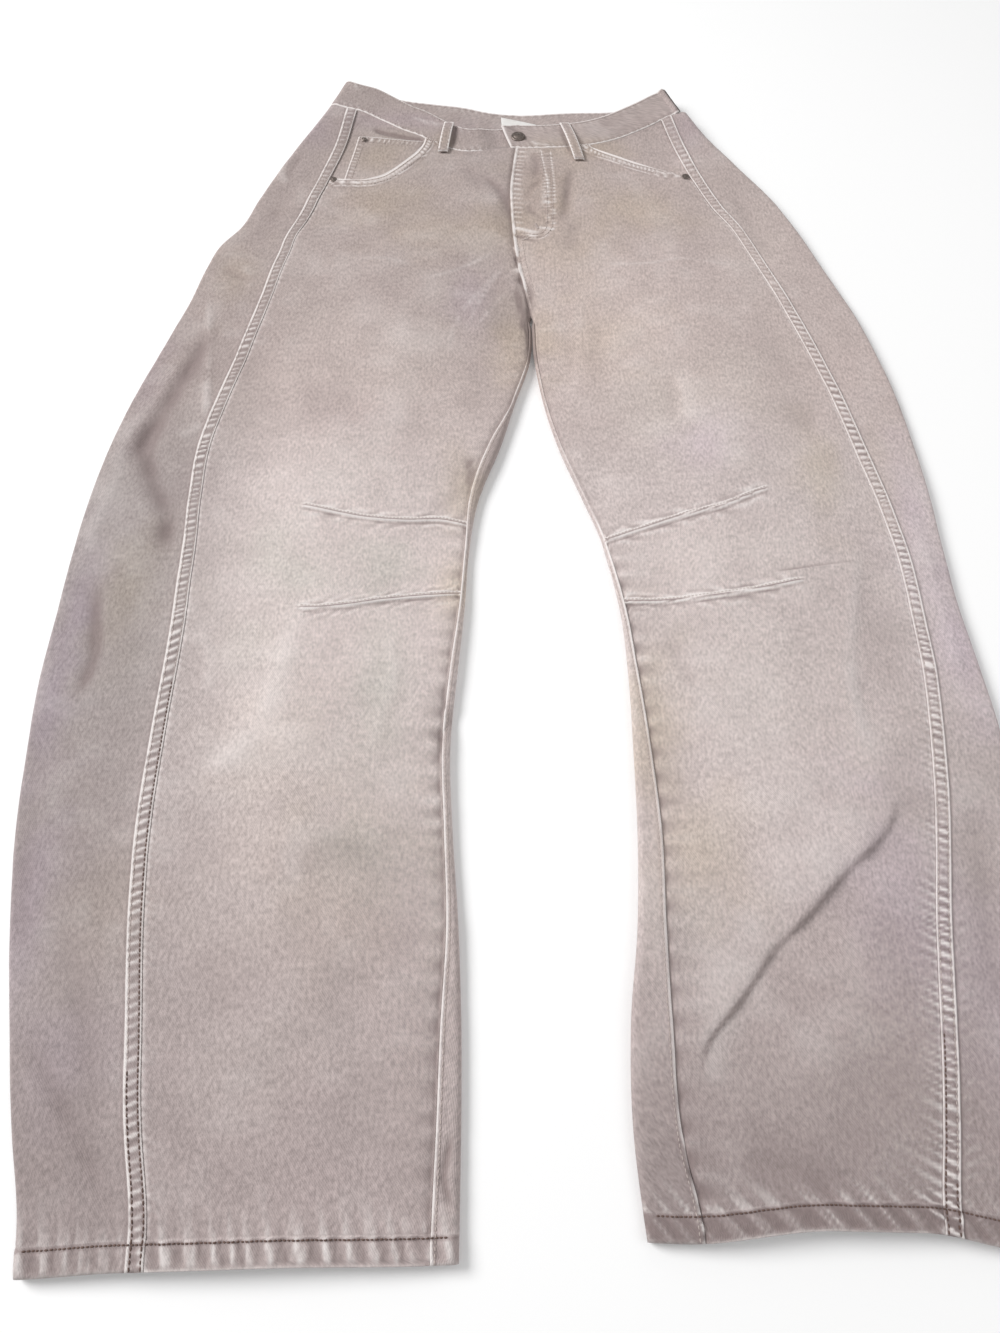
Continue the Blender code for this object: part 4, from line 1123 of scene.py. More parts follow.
def backPiece(side):
    number = sides.index(side)
    low, high = denseRows(side, backPanel["rowStep"])
    above = low - low[0]
    fold = station(side, "fold", low)
    seam = seamWidth(side, low)
    columns = []

    def column(w, z, face, tone=0, top=1):
        x, y = place(side, w, low, high, face)
        columns.append(np.stack([x, y, z + 0 * low, tone + 0 * low, top + 0 * low]))

    width = seamBand["width"]
    uneven = 0.8 + 0.35 * cloud(low, low * 0, 9, 21 + number)
    for inset in backPanel["bandColumns"]:
        w = seam - inset
        body = smooth(-0.5, 1.2, inset) * (1 - smooth(width - 0.1, width + seamBand["step"], inset))
        window = smooth(0.8, 2.4, inset) * (1 - smooth(8.4, 10.2, inset))
        wave = ripple(low, seamBand["ladderPitch"], 20 + number, 0.35 * inset)
        groove = sum(bump(inset - row, 0.6) for row in seamBand["rows"])
        step = seamBand["rise"] * (0.45 + 0.55 * ease(inset / 8))
        z = swell(side, w, low) + step * body + seamBand["ladder"] * wave * window - 0.3 * groove
        # pale worn outer fold edge; painted pale lines along the inner edge, lifting its shadow; pucker peaks pale
        # as wear and troughs dark as painted shade; dark stitch grooves; painted shadow just outside the outer edge
        tone = (1.7 * bump(inset - 9.5, 0.9) * uneven + 0.6 * bump(inset - 0.5, 0.6) * uneven
                + (1 + 0.3 * number) * (1 - 0.6 * smooth(560, 700, low)) * wave * window
                + 0.5 * bump(inset, 0.9) - 0.42 * groove - 0.5 * bump(inset - 11.2, 0.9))
        column(w, z, "front", tone)
    strip = seam - backPanel["bandColumns"][-1]
    for k in range(1, backPanel["stripColumns"]):
        w = mix(strip, fold, k / backPanel["stripColumns"])
        fromBand = strip + 2 - w
        strength = backPanel["pucker"][side] * (1 - smooth(60, 460, low))
        wave = ripple(low, seamBand["ladderPitch"] * 1.3, 25 + number, -0.5 * fromBand)
        window = np.exp(-np.maximum(fromBand, 0) / 5)
        column(w, swell(side, w, low) + strength * wave * window, "front", strength * wave * window)
    for k in range(13):
        angle = math.radians(90 + 15 * k)
        top = float(ease(0.5 + 0.75 * math.sin(angle)))
        face = "front" if k < 6 else "back"
        column(fold + fold * math.cos(angle), fold + fold * math.sin(angle), face, 0, top)
    wide = reach(side, high)
    under = wide - backPanel["underEnd"]
    for k in range(1, backPanel["underColumns"] + 1):
        column(mix(fold, under, k / backPanel["underColumns"]), 0, "back", 0, 0)
    # the inner fold and strip, evenly along each row from the underside to the seam
    share = wrapShare(high)
    inseam = inseamReach(side, high)
    over = np.clip((inseam - wide + fold) / fold, 0, 1)
    arc = fold * (np.pi / 2 + np.arccos(over))
    strip = np.maximum(wide - fold - inseam, 0)
    edge = 0.85 + 0.3 * cloud(high, high * 0, 8, 27 + number)
    last = backPanel["innerColumns"]
    for k in range(last + 1):
        run = (arc + strip) * k / last
        fromEdge = (arc + strip) * (1 - k / last)
        angle = np.minimum(run, arc) / fold - np.pi / 2
        w = wide - fold + fold * np.cos(angle) - np.maximum(run - arc, 0)
        top = ease(0.5 + 0.75 * np.sin(angle))
        strength = 1 - backPanel["edgeFade"][side] * smooth(385, 415, high) - 1.1 * smooth(552, 590, high)
        tone = 1.5 * strength * bump(fromEdge - 0.3, 0.9) * edge - 0.3 * bump(fromEdge - 2.4, 0.8)
        # painted shade on the inner strip near the crotch
        tone = tone - 1.6 * smooth(566, 596, high)
        # painted shade on the left leg's strip beyond its pale edge, just above the upper dart
        tone = tone - (1 - number) * 0.7 * bump(high - 462, 50) * smooth(1.5, 4, fromEdge)
        lift = 0.3 * bump(fromEdge, 2.5) - 0.2 * bump(fromEdge - 2.4, 0.7)
        z = fold + fold * np.sin(angle) + top * (lift + swell(side, w, high) - 2 * fold)
        flatW = wide - backPanel["innerWide"] * (1 - k / last)
        column(mix(flatW, w, share), mix(0, z, share), "back", tone * share, top * share)

    x, y, z, tone, top = np.stack(columns, axis=-1)
    relief, creaseTone = clothRelief(x, y)
    hemZ, hemTone = hemShape(side, above[:, None] + 0 * x, x)
    z += top * (relief + hemZ)
    tone += top * (creaseTone + hemTone)
    z = np.where(top < 0.02, 0, np.maximum(z, 0))
    x, y, z, tone = underBand(x, y, z, tone, backPanel["underBand"], top[-1:])
    return clothPiece("back_panel_" + side, x, y, z, tone, cloth["wall"], side == "left")


fronts = {side: frontPiece(side) for side in sides}
print("front panels made")
backs = {side: backPiece(side) for side in sides}
print("back panels made")


# waistband

waistband = {
    "height": 37,
    "under": 38,
    "overLow": 8,
    "overHigh": 18,
    "lift": 0.35,
    "stitch": 2.4,  # topstitch row in from each long edge
    "pucker": 0.2,
    "underColumns": 112,
    "overColumns": 84,
    "backColumns": 90,
    "rows": (0, 0.7, 1.5, 2.3, 3.2, 4.4, 6.5, 9.5, 13, 17, 21, 25, 28.5, 31, 32.9, 34.2, 35.3, 36.3, 37),
}


def bandHeight(x, h, face="front"):
    # plan height of the band's row that lies h over the waist seam
    middle = float(centreLine(waist["top"]))
    rise = cloth["waistGap"] + h
    runs = []
    for side in sides:
        outer = float(station(side, "outer", waist["side"][side] + rise))
        runs.append(waistY(side, face, np.abs(x - outer) / abs(middle - outer)))
    return np.where(x < middle, *runs) + rise


def bandPiece():
    middle = float(centreLine(waist["top"]))
    grids = []
    for h in waistband["rows"]:
        sideY = {side: waist["side"][side] + cloth["waistGap"] + h for side in sides}
        outer = {side: float(station(side, "outer", sideY[side])) for side in sides}
        fold = float(station("left", "fold", sideY["left"]))
        over = mix(waistband["overLow"], waistband["overHigh"], h / waistband["height"])

        def frontRun(x, under):
            y = bandHeight(x, h)
            sink = under * smooth(middle - 42, middle - waistband["overHigh"] - 2, x)
            z = height(x, y) - sink * (cloth["bandWall"] + cloth["gap"] + waistband["lift"])
            return np.stack([x, y, z + waistband["lift"] * (1 - sink), 1 + 0 * x, sink], axis=-1)

        def foldRun(side, first):
            angle = np.radians(first + 15 * np.arange(13))
            x = outer[side] + sign[side] * (fold + fold * np.cos(angle))
            z = fold + fold * np.sin(angle)
            y = np.where(z > fold, bandHeight(x, h), bandHeight(x, h, "back"))
            lift = waistband["lift"] * ease((z / fold - 1) * 2)
            return np.stack([x, y, z + lift, ease(0.5 + 0.75 * np.sin(angle)), 0 * x], axis=-1)

        backX = np.linspace(outer["left"] + fold + 8, outer["right"] - fold - 8, waistband["backColumns"])
        back = np.stack([backX, bandHeight(backX, h, "back"), 0 * backX, 0 * backX, 0 * backX], axis=-1)
        grids.append(np.concatenate([
            frontRun(np.linspace(middle + waistband["under"], outer["left"] + fold + 4,
                                 waistband["underColumns"]), 1),
            foldRun("left", 90),
            back,
            foldRun("right", 270),
            frontRun(np.linspace(outer["right"] - fold - 4, middle - over, waistband["overColumns"]), 0),
        ]))
    grid = np.stack(grids)
    x, y, z, top, sink = (grid[..., k] for k in range(5))
    h = np.array(waistband["rows"])[:, None] + 0 * x
    relief, tone = clothRelief(x, y)
    edge = np.minimum(h, waistband["height"] - h)
    wave = ripple(x, 6.5, 50, 0.4 * h)
    window = np.exp(-np.maximum(edge - waistband["stitch"], 0) / 3.5)
    roll = 0.55 * (1 - ease(edge / 1.8))
    z = z + top * (relief * (1 - sink) * 0.8 + waistband["pucker"] * wave * window
                   - 0.25 * bump(edge - waistband["stitch"], 0.8) - roll)
    # pale worn edges; pucker peaks pale as wear, troughs dark as painted shade
    tone = tone + 0.5 * wave * window + 1.2 * bump(edge - 0.3, 1) - 0.45 * bump(edge - waistband["stitch"], 0.7)
    overEnd = x - x[:, -1:]
    lastColumns = np.arange(x.shape[1])[None, :] > x.shape[1] - waistband["overColumns"]
    tone = tone + np.where(lastColumns, 1.6 * bump(overEnd - 0.4, 1), 0)
    z = np.where(top < 0.02, 0, np.maximum(z, 0))
    return clothPiece("waistband_cloth", x, y, z, tone, cloth["bandWall"], True)


band = bandPiece()
print("waistband made")


# pockets

facing = {
    "rowStep": 2,
    "columns": 44,
    "below": 14,  # how far it runs on under the front panel, down from the scoop
    "beyond": 14,  # and sideways
    "drop": 0.9,
    # the sag is sunk and painted dark as the shade of the pocket mouth
    "sag": ((-128, 881), (-120, 874), (-106, 869.5), (-96, 867), (-80, 862)),  # dark fold over the coin pocket
}


def facingPiece(side):
    number = sides.index(side)
    low, high = denseRows(side, facing["rowStep"])
    keep = low > scoopRow - facing["below"]
    low, high = low[keep], high[keep]
    sx, sy = frontStart(side, low, high)
    share = shares(low.size)
    ex, ey = scoopPoint(side, 0.06 + 0.94 * share, facing["beyond"])
    ey = mix(ey, waistSeam(side, ex), smooth(0.8, 1, share))
    tuck = cloth["tuck"] * 0.7
    t = shares(facing["columns"])[None, :]
    x = mix(sx[:, None] - sign[side] * tuck, ex[:, None], t)
    chord = mix(sy[-1], ey[-1], t)
    y = mix(sy[:, None], ey[:, None], t) + share[:, None] ** 3 * (waistSeam(side, x) + 2 - chord)
    w = fromFold(side, x, y)
    relief, tone = clothRelief(x, y)
    under = smooth(waistSeam(side, x) - 3, waistSeam(side, x), y)
    z = swell(side, w, y) + relief - facing["drop"] + 0.4 * under
    if side == "left":
        near, left, along = lineCoords(smoothLine(facing["sag"], 3), x, y, 14)[:3]
        fade = ease(along / 12)
        z[near] -= 2.2 * bump(left, 2.8) * fade
        # painted shade along the sag
        tone[near] -= 3 * bump(left, 2.2) * fade
    wave = ripple(y, 6, 100 + number)
    z += 0.12 * wave * bump(t * 40, 8)
    tone -= 0.15 * smooth(0.6, 1, t)
    return clothPiece("pocket_inside_" + side, x, y, z, tone, cloth["wall"], side == "right")


coin = {
    "rows": 40,
    "columns": 44,
    "leftLow": -150.5,
    "leftHigh": -141,
    "top": 867,
    "topFall": 8.5,
    "bottom": 803,
    "bottomFall": 6,
    "wall": 0.9,
    "topStitch": (2, 8.2),
    "sideStitch": (1.8, 7),
}


def coinPiece():
    u = shares(coin["columns"])[None, :]
    v = shares(coin["rows"])[:, None]
    top = coin["top"] - coin["topFall"] * u
    y = mix(coin["bottom"] - coin["bottomFall"] * u, top, v)
    rising = np.array(scoops["left"][1:], float)
    edge = np.interp(y, rising[:, 1], rising[:, 0]) + 1.5
    leftEdge = mix(coin["leftLow"], coin["leftHigh"], v)
    x = mix(leftEdge, edge, u)
    relief, tone = clothRelief(x, y)
    z = height(x, y) + relief - 0.35 - 0.5 * smooth(edge - 5, edge, x)
    fromTop, fromLeft = top - y, x - leftEdge
    wave = ripple(x, 5, 110, 0.3 * fromTop) * bump(fromTop - 5, 4)
    sideWave = ripple(y, 5, 112, 0.3 * fromLeft) * bump(fromLeft - 4, 3.5)
    z += 0.35 * (1 - smooth(9, 10.5, fromTop)) + 0.3 * wave + 0.26 * sideWave
    for line in coin["topStitch"]:
        z -= 0.25 * bump(fromTop - line, 0.7)
        tone -= 0.3 * bump(fromTop - line, 0.6)
    for line in coin["sideStitch"]:
        z -= 0.2 * bump(fromLeft - line, 0.7)
        tone -= 0.25 * bump(fromLeft - line, 0.6)
    z -= 0.4 * (1 - ease(fromTop / 1.2)) + 0.4 * (1 - ease(fromLeft / 1.2))
    # pale worn edges; pucker peaks pale as wear, troughs dark as painted shade
    tone += 1.3 * bump(fromTop, 1) + 1.2 * bump(fromLeft, 1) + 0.75 * wave + 0.65 * sideWave
    # painted shade where the pocket runs under the scoop's edge
    tone -= 0.8 * bump(edge - 2.5 - x, 1.8)
    return clothPiece("coin_pocket_cloth", x, y, z, tone, coin["wall"])


facings = {side: facingPiece(side) for side in sides}
coinPocket = coinPiece()


flyUnderlap = {"rows": 50, "columns": 16, "bottom": 712, "left": 6, "right": 36, "drop": 2.2}


def shieldPiece():
    # the fly's underlap, behind the lapped edge
    v = shares(flyUnderlap["rows"])[:, None]
    u = shares(flyUnderlap["columns"])[None, :]
    y = mix(flyUnderlap["bottom"], float(waistY("left", "front", 1)) - 1, v) + 0 * u
    middle = centreLine(y)
    x = mix(middle - flyUnderlap["left"], middle + flyUnderlap["right"], u)
    relief, tone = clothRelief(x, y)
    z = height(x, y) + relief - cloth["wall"] - flyUnderlap["drop"]
    return clothPiece("fly_underlap", x, y, z, tone, cloth["wall"])


underlap = shieldPiece()
print("pockets and fly made")


# belt loops

loops = {
    "left": {"top": (-51, 886), "bottom": (-56, 838)},
    "right": {"top": (64.5, 886), "bottom": (77.5, 826)},
    "rows": 44,
    "columns": (0.5, 1.6, 2.6, 3.4, 4.1, 4.7, 5),  # out from the middle
    "wall": 1.6,
    "stand": 3.2,
    "stitch": 2.6,  # topstitch rows, out from the middle
}


def loopPiece(side):
    number = sides.index(side)
    top, bottom = loops[side]["top"], loops[side]["bottom"]
    t = shares(loops["rows"])[:, None]
    outwards = np.array(loops["columns"])
    half = outwards[-1]
    across = chain(-outwards[::-1], outwards)[None, :]
    x = mix(bottom[0], top[0], t) + across
    y = mix(bottom[1], top[1], t) + 0 * across
    middle = mix(bottom[0], top[0], t)
    relief, tone = clothRelief(x, y)
    base = np.maximum(height(middle - half, y), height(middle + half, y)) + np.maximum(relief, 0)
    stand = loops["stand"] * np.sin(np.pi * t) ** 0.8
    length = math.hypot(top[0] - bottom[0], top[1] - bottom[1])
    wave = ripple(t * length, 4.4, 120 + number, 0.6 * across)
    z = base + cloth["gap"] + loops["wall"] + 0.35 + stand
    z = z - 0.55 * np.abs(across / half) ** 6 + 0.16 * wave * bump(np.abs(across) - 3.4, 1.6)
    z -= 0.2 * bump(np.abs(across) - loops["stitch"], 0.6)
    fromEnd = np.minimum(t, 1 - t) * length
    z += 0.5 * bump(fromEnd, 2.5) - 0.6 * (1 - ease(fromEnd / 1.2))
    # pale worn edges; pucker peaks pale as wear, troughs dark as painted shade
    tone = 0.2 * tone + 1.2 * bump(np.abs(across) - 4.6, 0.8) + 0.5 * wave * bump(np.abs(across) - 3.4, 1.6)
    tone += 0.9 * bump(fromEnd - 1, 1.6) - 0.4 * bump(across, 1.2)
    return clothPiece("belt_loop_cloth_" + side, x, y, z, tone, loops["wall"])


beltLoops = {side: loopPiece(side) for side in sides}


labelShape = {
    "rows": 26,
    "columns": 30,
    "lowEdge": (3, 35),
    "highEdge": (1, 37),
    "bottom": 873,
    "top": (910, 898),
    "wall": 0.6,
    "stand": 0.8,
    "white": 0.8,
}


def labelPiece():
    # bare woven label with folded ends, inside the back waistband
    v = shares(labelShape["rows"])[:, None]
    u = shares(labelShape["columns"])[None, :]
    x = mix(mix(*labelShape["lowEdge"], u), mix(*labelShape["highEdge"], u), v)
    y = mix(labelShape["bottom"], mix(*labelShape["top"], u), v)
    z = cloth["bandWall"] + cloth["gap"] + labelShape["stand"] + 0.35 * np.sin(np.pi * u) * np.sin(np.pi * v * 0.9)
    z = z + 0.12 * cloud(x, y, 7, 130) + 0.25 * bump(v - 1, 0.06)
    white = np.ones(x.shape + (3,)) * labelShape["white"]
    return clothPiece("bare_label_cloth", x, y, z, 0 * x, labelShape["wall"], False, white, labelCloth)


label = labelPiece()
print("loops and label made")


# metal trims, each turned from a profile of radius and height

def turned(name, profile, at, base, segments=40):
    angle = np.linspace(0, 2 * np.pi, segments, endpoint=False)
    rings = [joined(at[0] + radius * np.cos(angle), at[1] + radius * np.sin(angle), base + up + 0 * angle)
             for radius, up in profile]
    faces = []
    for k in range(len(profile) - 1):
        for j in range(segments):
            n = (j + 1) % segments
            faces.append((k * segments + j, k * segments + n, (k + 1) * segments + n, (k + 1) * segments + j))
    faces.append(tuple(range(segments))[::-1])
    faces.append(tuple((len(profile) - 1) * segments + j for j in range(segments)))
    mesh = bpy.data.meshes.new(name)
    mesh.from_pydata(toTable(np.concatenate(rings)), [], faces)
    mesh.materials.append(metal)
    mesh.shade_smooth()
    mesh.set_sharp_from_angle(angle=math.radians(50))
    return addObject(name, mesh)


def seatOf(node):
    low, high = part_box(node)
    return ((low.x + high.x) / 2 / mm + frameShift[0], (low.y + high.y) / 2 / mm + frameShift[1]), low.z / mm


buttonProfile = ((4.2, 0), (6.7, 0.1), (7, 0.5), (6.9, 1.1), (6.4, 1.6), (5.8, 1.75), (5.2, 1.45),
                 (4.7, 1.4), (4.2, 1.75), (3.2, 2.25), (1.8, 2.55), (0.6, 2.62))
rivetProfile = ((2.6, 0), (3.4, 0.05), (3.5, 0.35), (3.1, 0.65), (2.5, 0.7), (1.9, 0.55), (1.4, 0.65),
                (1, 0.95), (0.4, 1.05))
coinRivetProfile = tuple((0.75 * radius, up) for radius, up in rivetProfile)
trims = {}
for node, profile in (("button", buttonProfile), ("rivet_left", rivetProfile), ("rivet_right", rivetProfile),
                      ("rivet_coin", coinRivetProfile)):
    at, base = seatOf(node)
    trims[node] = turned(node + "_metal", profile, at, base)
print("trims made")


# stitches, set by Geometry Nodes on points that carry their direction

stitchFields = {"up": "FLOAT_VECTOR", "along": "FLOAT_VECTOR", "size": "FLOAT"}


def stitchTree():
    tree = bpy.data.node_groups.new("Stitches", "GeometryNodeTree")
    face = tree.interface
    face.new_socket("Geometry", in_out="INPUT", socket_type="NodeSocketGeometry")
    for name, value in (("Length", 0.0026), ("Thread", 0.0007), ("Unevenness", 0.12)):
        face.new_socket(name, in_out="INPUT", socket_type="NodeSocketFloat").default_value = value
    face.new_socket("Seed", in_out="INPUT", socket_type="NodeSocketInt").default_value = 7
    face.new_socket("Material", in_out="INPUT", socket_type="NodeSocketMaterial")
    face.new_socket("Geometry", in_out="OUTPUT", socket_type="NodeSocketGeometry")
    graph = Graph(tree)
    entry = tree.nodes.new("NodeGroupInput")
    socket = {s.name: Value(graph, s) for s in entry.outputs if s.name}
    ball = graph.node("GeometryNodeMeshUVSphere", {}, {"Segments": 6, "Rings": 4, "Radius": 0.5})
    points = graph.node("GeometryNodeMeshToPoints", {}, {"Mesh": socket["Geometry"]})
    up, along, size = (graph.node("GeometryNodeInputNamedAttribute", {"data_type": kind}, {"Name": name})
                       for name, kind in stitchFields.items())
    stand = graph.node("FunctionNodeAlignRotationToVector", {"axis": "Z"}, {"Vector": up})
    turn = graph.node("FunctionNodeAlignRotationToVector", {"axis": "X", "pivot_axis": "Z"},
                      {"Rotation": stand, "Vector": along})
    spread = socket["Unevenness"]
    chance = graph.node("FunctionNodeRandomValue", {"data_type": "FLOAT"}, {2: -1, 3: 1, 8: socket["Seed"]}, 1)
    long = socket["Length"] * size * (1 + chance * spread)
    thick = socket["Thread"] * (1 + chance * spread * 0.5)
    scale = graph.node("ShaderNodeCombineXYZ", {}, {0: long, 1: thick, 2: thick * 0.85})
    placed = graph.node("GeometryNodeInstanceOnPoints", {},
                        {"Points": points, "Instance": ball, "Rotation": turn, "Scale": scale})
    real = graph.node("GeometryNodeRealizeInstances", {}, {"Geometry": placed})
    soft = graph.node("GeometryNodeSetShadeSmooth", {}, {"Geometry": real})
    done = graph.node("GeometryNodeSetMaterial", {}, {"Geometry": soft, "Material": socket["Material"]})
    tree.links.new(done.link, tree.nodes.new("NodeGroupOutput").inputs[0])
    return tree


bpy.context.view_layer.update()
graphOfScene = bpy.context.evaluated_depsgraph_get()
surfaces = {piece.name: BVHTree.FromObject(piece, graphOfScene) for piece in
            (*fronts.values(), *backs.values(), band, *facings.values(), coinPocket, *beltLoops.values())}


def onSurface(x, y, names=None):
    # highest point of the cloth over a plan point, and the way it faces
    best = None
    start = Vector(((x - frameShift[0]) * mm, (y - frameShift[1]) * mm, 0.08))
    for name, tree in surfaces.items():
        if names and not name.startswith(names):
            continue
        spot, normal = tree.ray_cast(start, Vector((0, 0, -1)))[:2]
        if spot is not None and (best is None or spot.z > best[0].z):
            best = (spot, normal)
    return best


def evenly(line, pitch):
    # plan points and directions at an even pitch along a line
    line = np.asarray(line, float)
    steps = np.linalg.norm(np.diff(line, axis=0), axis=1)
    run = chain([0], np.cumsum(steps))
    count = max(int(run[-1] / pitch), 1)
    at = (np.arange(count) + 0.5) * run[-1] / count
    x, y = np.interp(at, run, line[:, 0]), np.interp(at, run, line[:, 1])
    ahead = [np.interp(at + 0.4, run, way) - np.interp(at - 0.4, run, way) for way in line.T]
    return x, y, pairs(*ahead)


def stitchPiece(name, rows, length, thread, material, seed, tree):
    # rows: plan line, pitch, size of each stitch, the pieces it is sewn on
    spots = []
    values = {name: [] for name in stitchFields}
    for line, pitch, size, names in rows:
        x, y, ahead = evenly(line, pitch)
        for px, py, way in zip(x, y, ahead):
            hit = onSurface(px, py, names)
            if hit is None or hit[1].z < 0.3:
                continue
            direction = Vector((way[0], way[1], 0))
            direction -= hit[1] * direction.dot(hit[1])
            spots.append(hit[0] + hit[1] * (thread * 0.12 * mm))
            values["up"].append(hit[1])
            values["along"].append(direction.normalized())
            values["size"].append(size)
    mesh = bpy.data.meshes.new(name)
    mesh.from_pydata([tuple(spot) for spot in spots], [], [])
    for field, kind in stitchFields.items():
        layer = mesh.attributes.new(field, kind, "POINT")
        layer.data.foreach_set("value" if kind == "FLOAT" else "vector", np.array(values[field], np.float32).ravel())
    carrier = addObject(name + "_points", mesh)
    modifier = carrier.modifiers.new("stitches", "NODES")
    modifier.node_group = tree
    sockets = {item.name: item.identifier for item in tree.interface.items_tree if item.in_out == "INPUT"}
    for key, value in (("Length", length * mm), ("Thread", thread * mm), ("Seed", seed), ("Material", material)):
        modifier[sockets[key]] = value
    bpy.context.view_layer.update()
    depsgraph = bpy.context.evaluated_depsgraph_get()
    made = bpy.data.meshes.new_from_object(carrier.evaluated_get(depsgraph))
    made.name = name
    for field in stitchFields:
        layer = made.attributes.get(field)
        if layer:
            made.attributes.remove(layer)
    bpy.data.objects.remove(carrier, do_unlink=True)
    print(name, "with", len(spots), "stitches")
    return addObject(name, made)


sewing = {
    "pitch": 3.1,
    "length": 2.6,
    "thread": 0.75,
    "hemPitch": 2.5,
    "hemThread": 1.15,
    "dartPitch": 2.7,
    "coinPitch": 2.8,
    "loopPitch": 2.6,
    "brownBelow": {"left": (270, 20), "right": (40, -40)},  # for the front and the back row
    "inseam": 2.4,
    "crotchRows": ((650, 846, 2.8, 60), (648, 716, 7.4, 20)),  # from, to, inset, points
    "bandEnds": (-160, 176),
    "tackPitch": 0.62,
    "tackThread": 0.72,
    "tackLength": 2.6,
    "loopTack": (9.6, 3.2),
    "flyTacks": ((34, 731, 1.9, 7.5, 2.8), (23, 716, 0.5, 8, 2.8)),  # x, y, angle, length, width
}


def between(line, lowest, highest):
    return line[(line[:, 1] > lowest) & (line[:, 1] < highest)]


def bandRow(side, inset, lowest, highest):
    low, high = denseRows(side, 6)
    return between(pairs(*place(side, seamWidth(side, low) - inset, low, high)), lowest, highest)


def inseamRow(side, inset, lowest, highest):
    x, y = inseamEnd(side, *denseRows(side, 6))
    return between(pairs(x + sign[side] * inset, y), lowest, highest)


def hemRow(side):
    low, high = rowHeights[side][0][0] + hem["stitch"], rowHeights[side][0][1] + hem["stitch"]
    w = np.linspace(5, float(reach(side, low)) - 5, 60)
    return pairs(*place(side, w, np.full(w.shape, low), np.full(w.shape, high)))


def offsetLine(points, left):
    line = smoothLine(points)
    way = np.gradient(line, axis=0)
    way /= np.linalg.norm(way, axis=1)[:, None]
    return line + left * pairs(-way[:, 1], way[:, 0])


def scoopRowLine(side, inset):
    return pairs(*scoopPoint(side, np.linspace(0, 0.97, 40), inset))


def bandLine(h, first, last):
    # a row along the waistband's front, at a height over the waist seam
    x = np.linspace(first, last, 90)
    return pairs(x, bandHeight(x, h))


def tackLines(x, y, angle, length, width):
    # a bar tack: short threads packed side by side
    out = []
    pitch = sewing["tackPitch"]
    c, s = math.cos(angle), math.sin(angle)
    for k in range(int(length / pitch)):
        d = (k + 0.5) * pitch - length / 2
        lean = 0.25 if k % 2 else -0.25
        a = (x + d * c - (width / 2) * -s + lean * c, y + d * s - (width / 2) * c + lean * s)
        b = (x + d * c + (width / 2) * -s - lean * c, y + d * s + (width / 2) * c - lean * s)
        out.append((a, b))
    return out


pale, brown, tacks = [], [], []


def sew(line, names, rows=pale, pitch=sewing["pitch"], size=1):
    rows.append((line, pitch, size, names))


for side in sides:
    for inset, turn in zip(seamBand["rows"], sewing["brownBelow"][side]):
        sew(bandRow(side, inset, turn, 900), "back_panel")
        sew(bandRow(side, inset, -200, turn), "back_panel", brown)
    sew(inseamRow(side, sewing["inseam"], -200, 590), "back_panel")
    sew(hemRow(side), ("back_panel", "front_panel"), brown, sewing["hemPitch"], 0.85)
    for inset in frontPanel["scoopRows"]:
        sew(scoopRowLine(side, inset), "front_panel")
for number, points in enumerate(darts):
    above = dartShape["stitch"] if points[0][0] < points[-1][0] else -dartShape["stitch"]
    sew(offsetLine(points, above)[1:-1], "front_panel", pale, sewing["dartPitch"], 0.9)
for path in jStitch:
    sew(smoothLine(path), "front_panel")
for first, last, inset, count in sewing["crotchRows"]:
    y = np.linspace(first, last, count)
    sew(pairs(centreLine(y) + inset, y), "front_panel")
for h in (waistband["stitch"], waistband["height"] - waistband["stitch"]):
    sew(bandLine(h, *sewing["bandEnds"]), "waistband")
for line in coin["topStitch"]:
    ends = ((coin["leftHigh"] + 2, coin["top"] - line), (-80, coin["top"] - coin["topFall"] - line))
    sew(ends, "coin", pale, sewing["coinPitch"], 0.95)
for line in coin["sideStitch"]:
    ends = ((coin["leftLow"] + line, coin["bottom"]), (coin["leftHigh"] + line, coin["top"] - 1))
    sew(ends, "coin", pale, sewing["coinPitch"], 0.95)
for side in sides:
    top, bottom = loops[side]["top"], loops[side]["bottom"]
    for offset in (-loops["stitch"], loops["stitch"]):
        ends = ((bottom[0] + offset, bottom[1] + 3), (top[0] + offset, top[1] - 2))
        sew(ends, "belt_loop", pale, sewing["loopPitch"], 0.9)
    for line in tackLines(bottom[0], bottom[1] + 2.2, 0, *sewing["loopTack"]):
        sew(line, "belt_loop", tacks, 4, 1.3)
for tack in sewing["flyTacks"]:
    for line in tackLines(*tack):
        sew(line, "front_panel", tacks, 4, 1.2)

tree = stitchTree()
sewn = [
    stitchPiece("stitches_pale", pale, sewing["length"], sewing["thread"], paleThread, 11, tree),
    stitchPiece("stitches_brown", brown, sewing["length"], sewing["hemThread"], brownThread, 12, tree),
    stitchPiece("bar_tacks", tacks, sewing["tackLength"], sewing["tackThread"], paleThread, 13, tree),
]
print("stitches made")


# what each piece stands for
def lay(piece, nodes):
    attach(piece, "root")
    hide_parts(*nodes)


for side in sides:
    for face, pieces, below in (("front", fronts, "back_panel_" + side), ("back", backs, "floor")):
        lay(pieces[side], [face + "_" + side])
    lay(facings[side], ["pocket_facing_" + side])
    lay(beltLoops[side], ["belt_loop_" + side])
lay(band, ["waistband"])
lay(coinPocket, ["coin_pocket"])
lay(underlap, ["fly_shield"])
lay(label, ["label"])
for node, piece in trims.items():
    lay(piece, [node])
for piece in sewn:
    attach(piece, "root")


# floor, light and camera

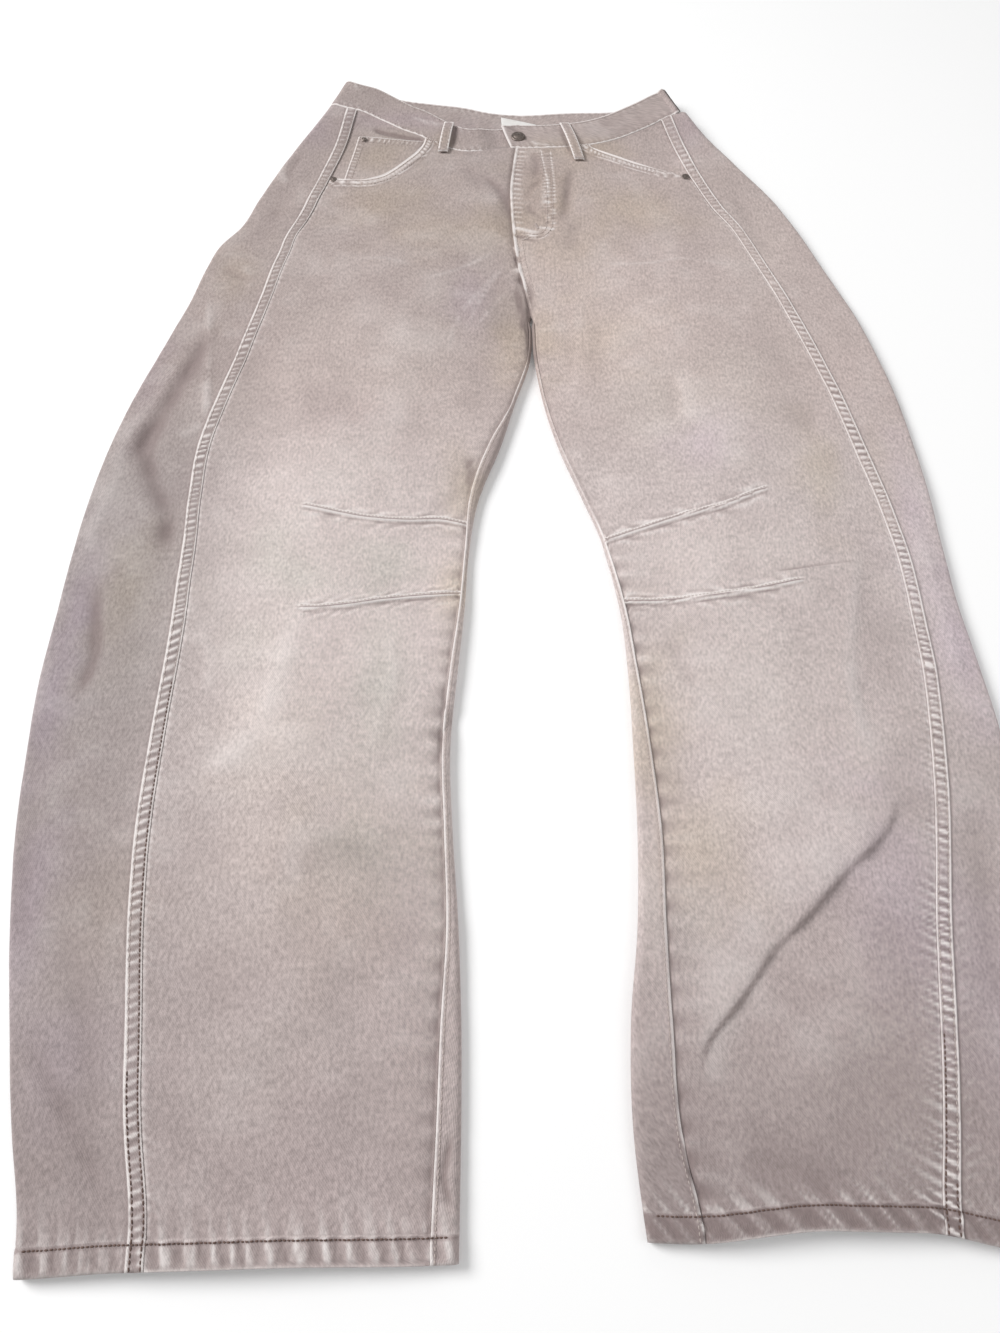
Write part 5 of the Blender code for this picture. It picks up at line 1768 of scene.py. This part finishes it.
def makeFloor():
    material, graph, shader = newMaterial("pale_floor")
    haze = graph.noise(graph.place(), 2, 2)
    graph.tree.links.new(graph.blend(haze, grey(0.93), grey(0.95)).link, shader.inputs["Base Color"])
    setSockets(shader, {"Roughness": 0.9, "Emission Color": grey(1), "Emission Strength": studio["floorGlow"]})
    mesh = bpy.data.meshes.new("floor")
    half, low = studio["floorHalf"], -studio["floorDrop"]
    mesh.from_pydata([(-half, -half, low), (half, -half, low), (half, half, low), (-half, half, low)], [],
                     [(0, 1, 2, 3)])
    mesh.materials.append(material)
    addObject("floor", mesh)


studio = {
    "floorHalf": 6,  # metres
    "floorDrop": 0.0003,
    "floorGlow": 0.06,
    "sky": 0.39,
    "key": {"at": (-2.6, 0.8, 2.2), "aim": (0.05, 0.05, 0), "size": 1.7, "power": 112},
    "fill": {"at": (1.3, -0.4, 1.7), "aim": (0, 0, 0), "size": 1.6, "power": 8},
}


def makeLight(name, light):
    lamp = bpy.data.lights.new(name, "AREA")
    lamp.shape = "DISK"
    lamp.size = light["size"]
    lamp.energy = light["power"]
    made = addObject(name, lamp)
    made.location = light["at"]
    made.rotation_euler = (Vector(light["aim"]) - Vector(light["at"])).to_track_quat("-Z", "Y").to_euler()


makeFloor()
makeLight("key", studio["key"])
makeLight("fill", studio["fill"])
world = bpy.data.worlds.new("studio")
world.use_nodes = True
world.node_tree.nodes["Background"].inputs["Color"].default_value = (1, 1, 1, 1)
world.node_tree.nodes["Background"].inputs["Strength"].default_value = studio["sky"]
bpy.context.scene.world = world
bpy.context.scene.view_settings.view_transform = "Standard"
bpy.context.scene.view_settings.look = "None"

# the camera stood over the table's origin, looking down at the legs
view = {"above": 591.9, "tilt": 25.723, "lens": 32.4, "sensor": 36}
cameraData = bpy.data.cameras.new("camera")
cameraData.sensor_fit = "HORIZONTAL"
cameraData.sensor_width = view["sensor"]
cameraData.lens = view["lens"]
camera = addObject("camera", cameraData)
camera.location = (-frameShift[0] * mm, -frameShift[1] * mm, view["above"] * mm)
camera.rotation_euler = (math.radians(view["tilt"]), 0, 0)
bpy.context.scene.camera = camera
print("stage set")
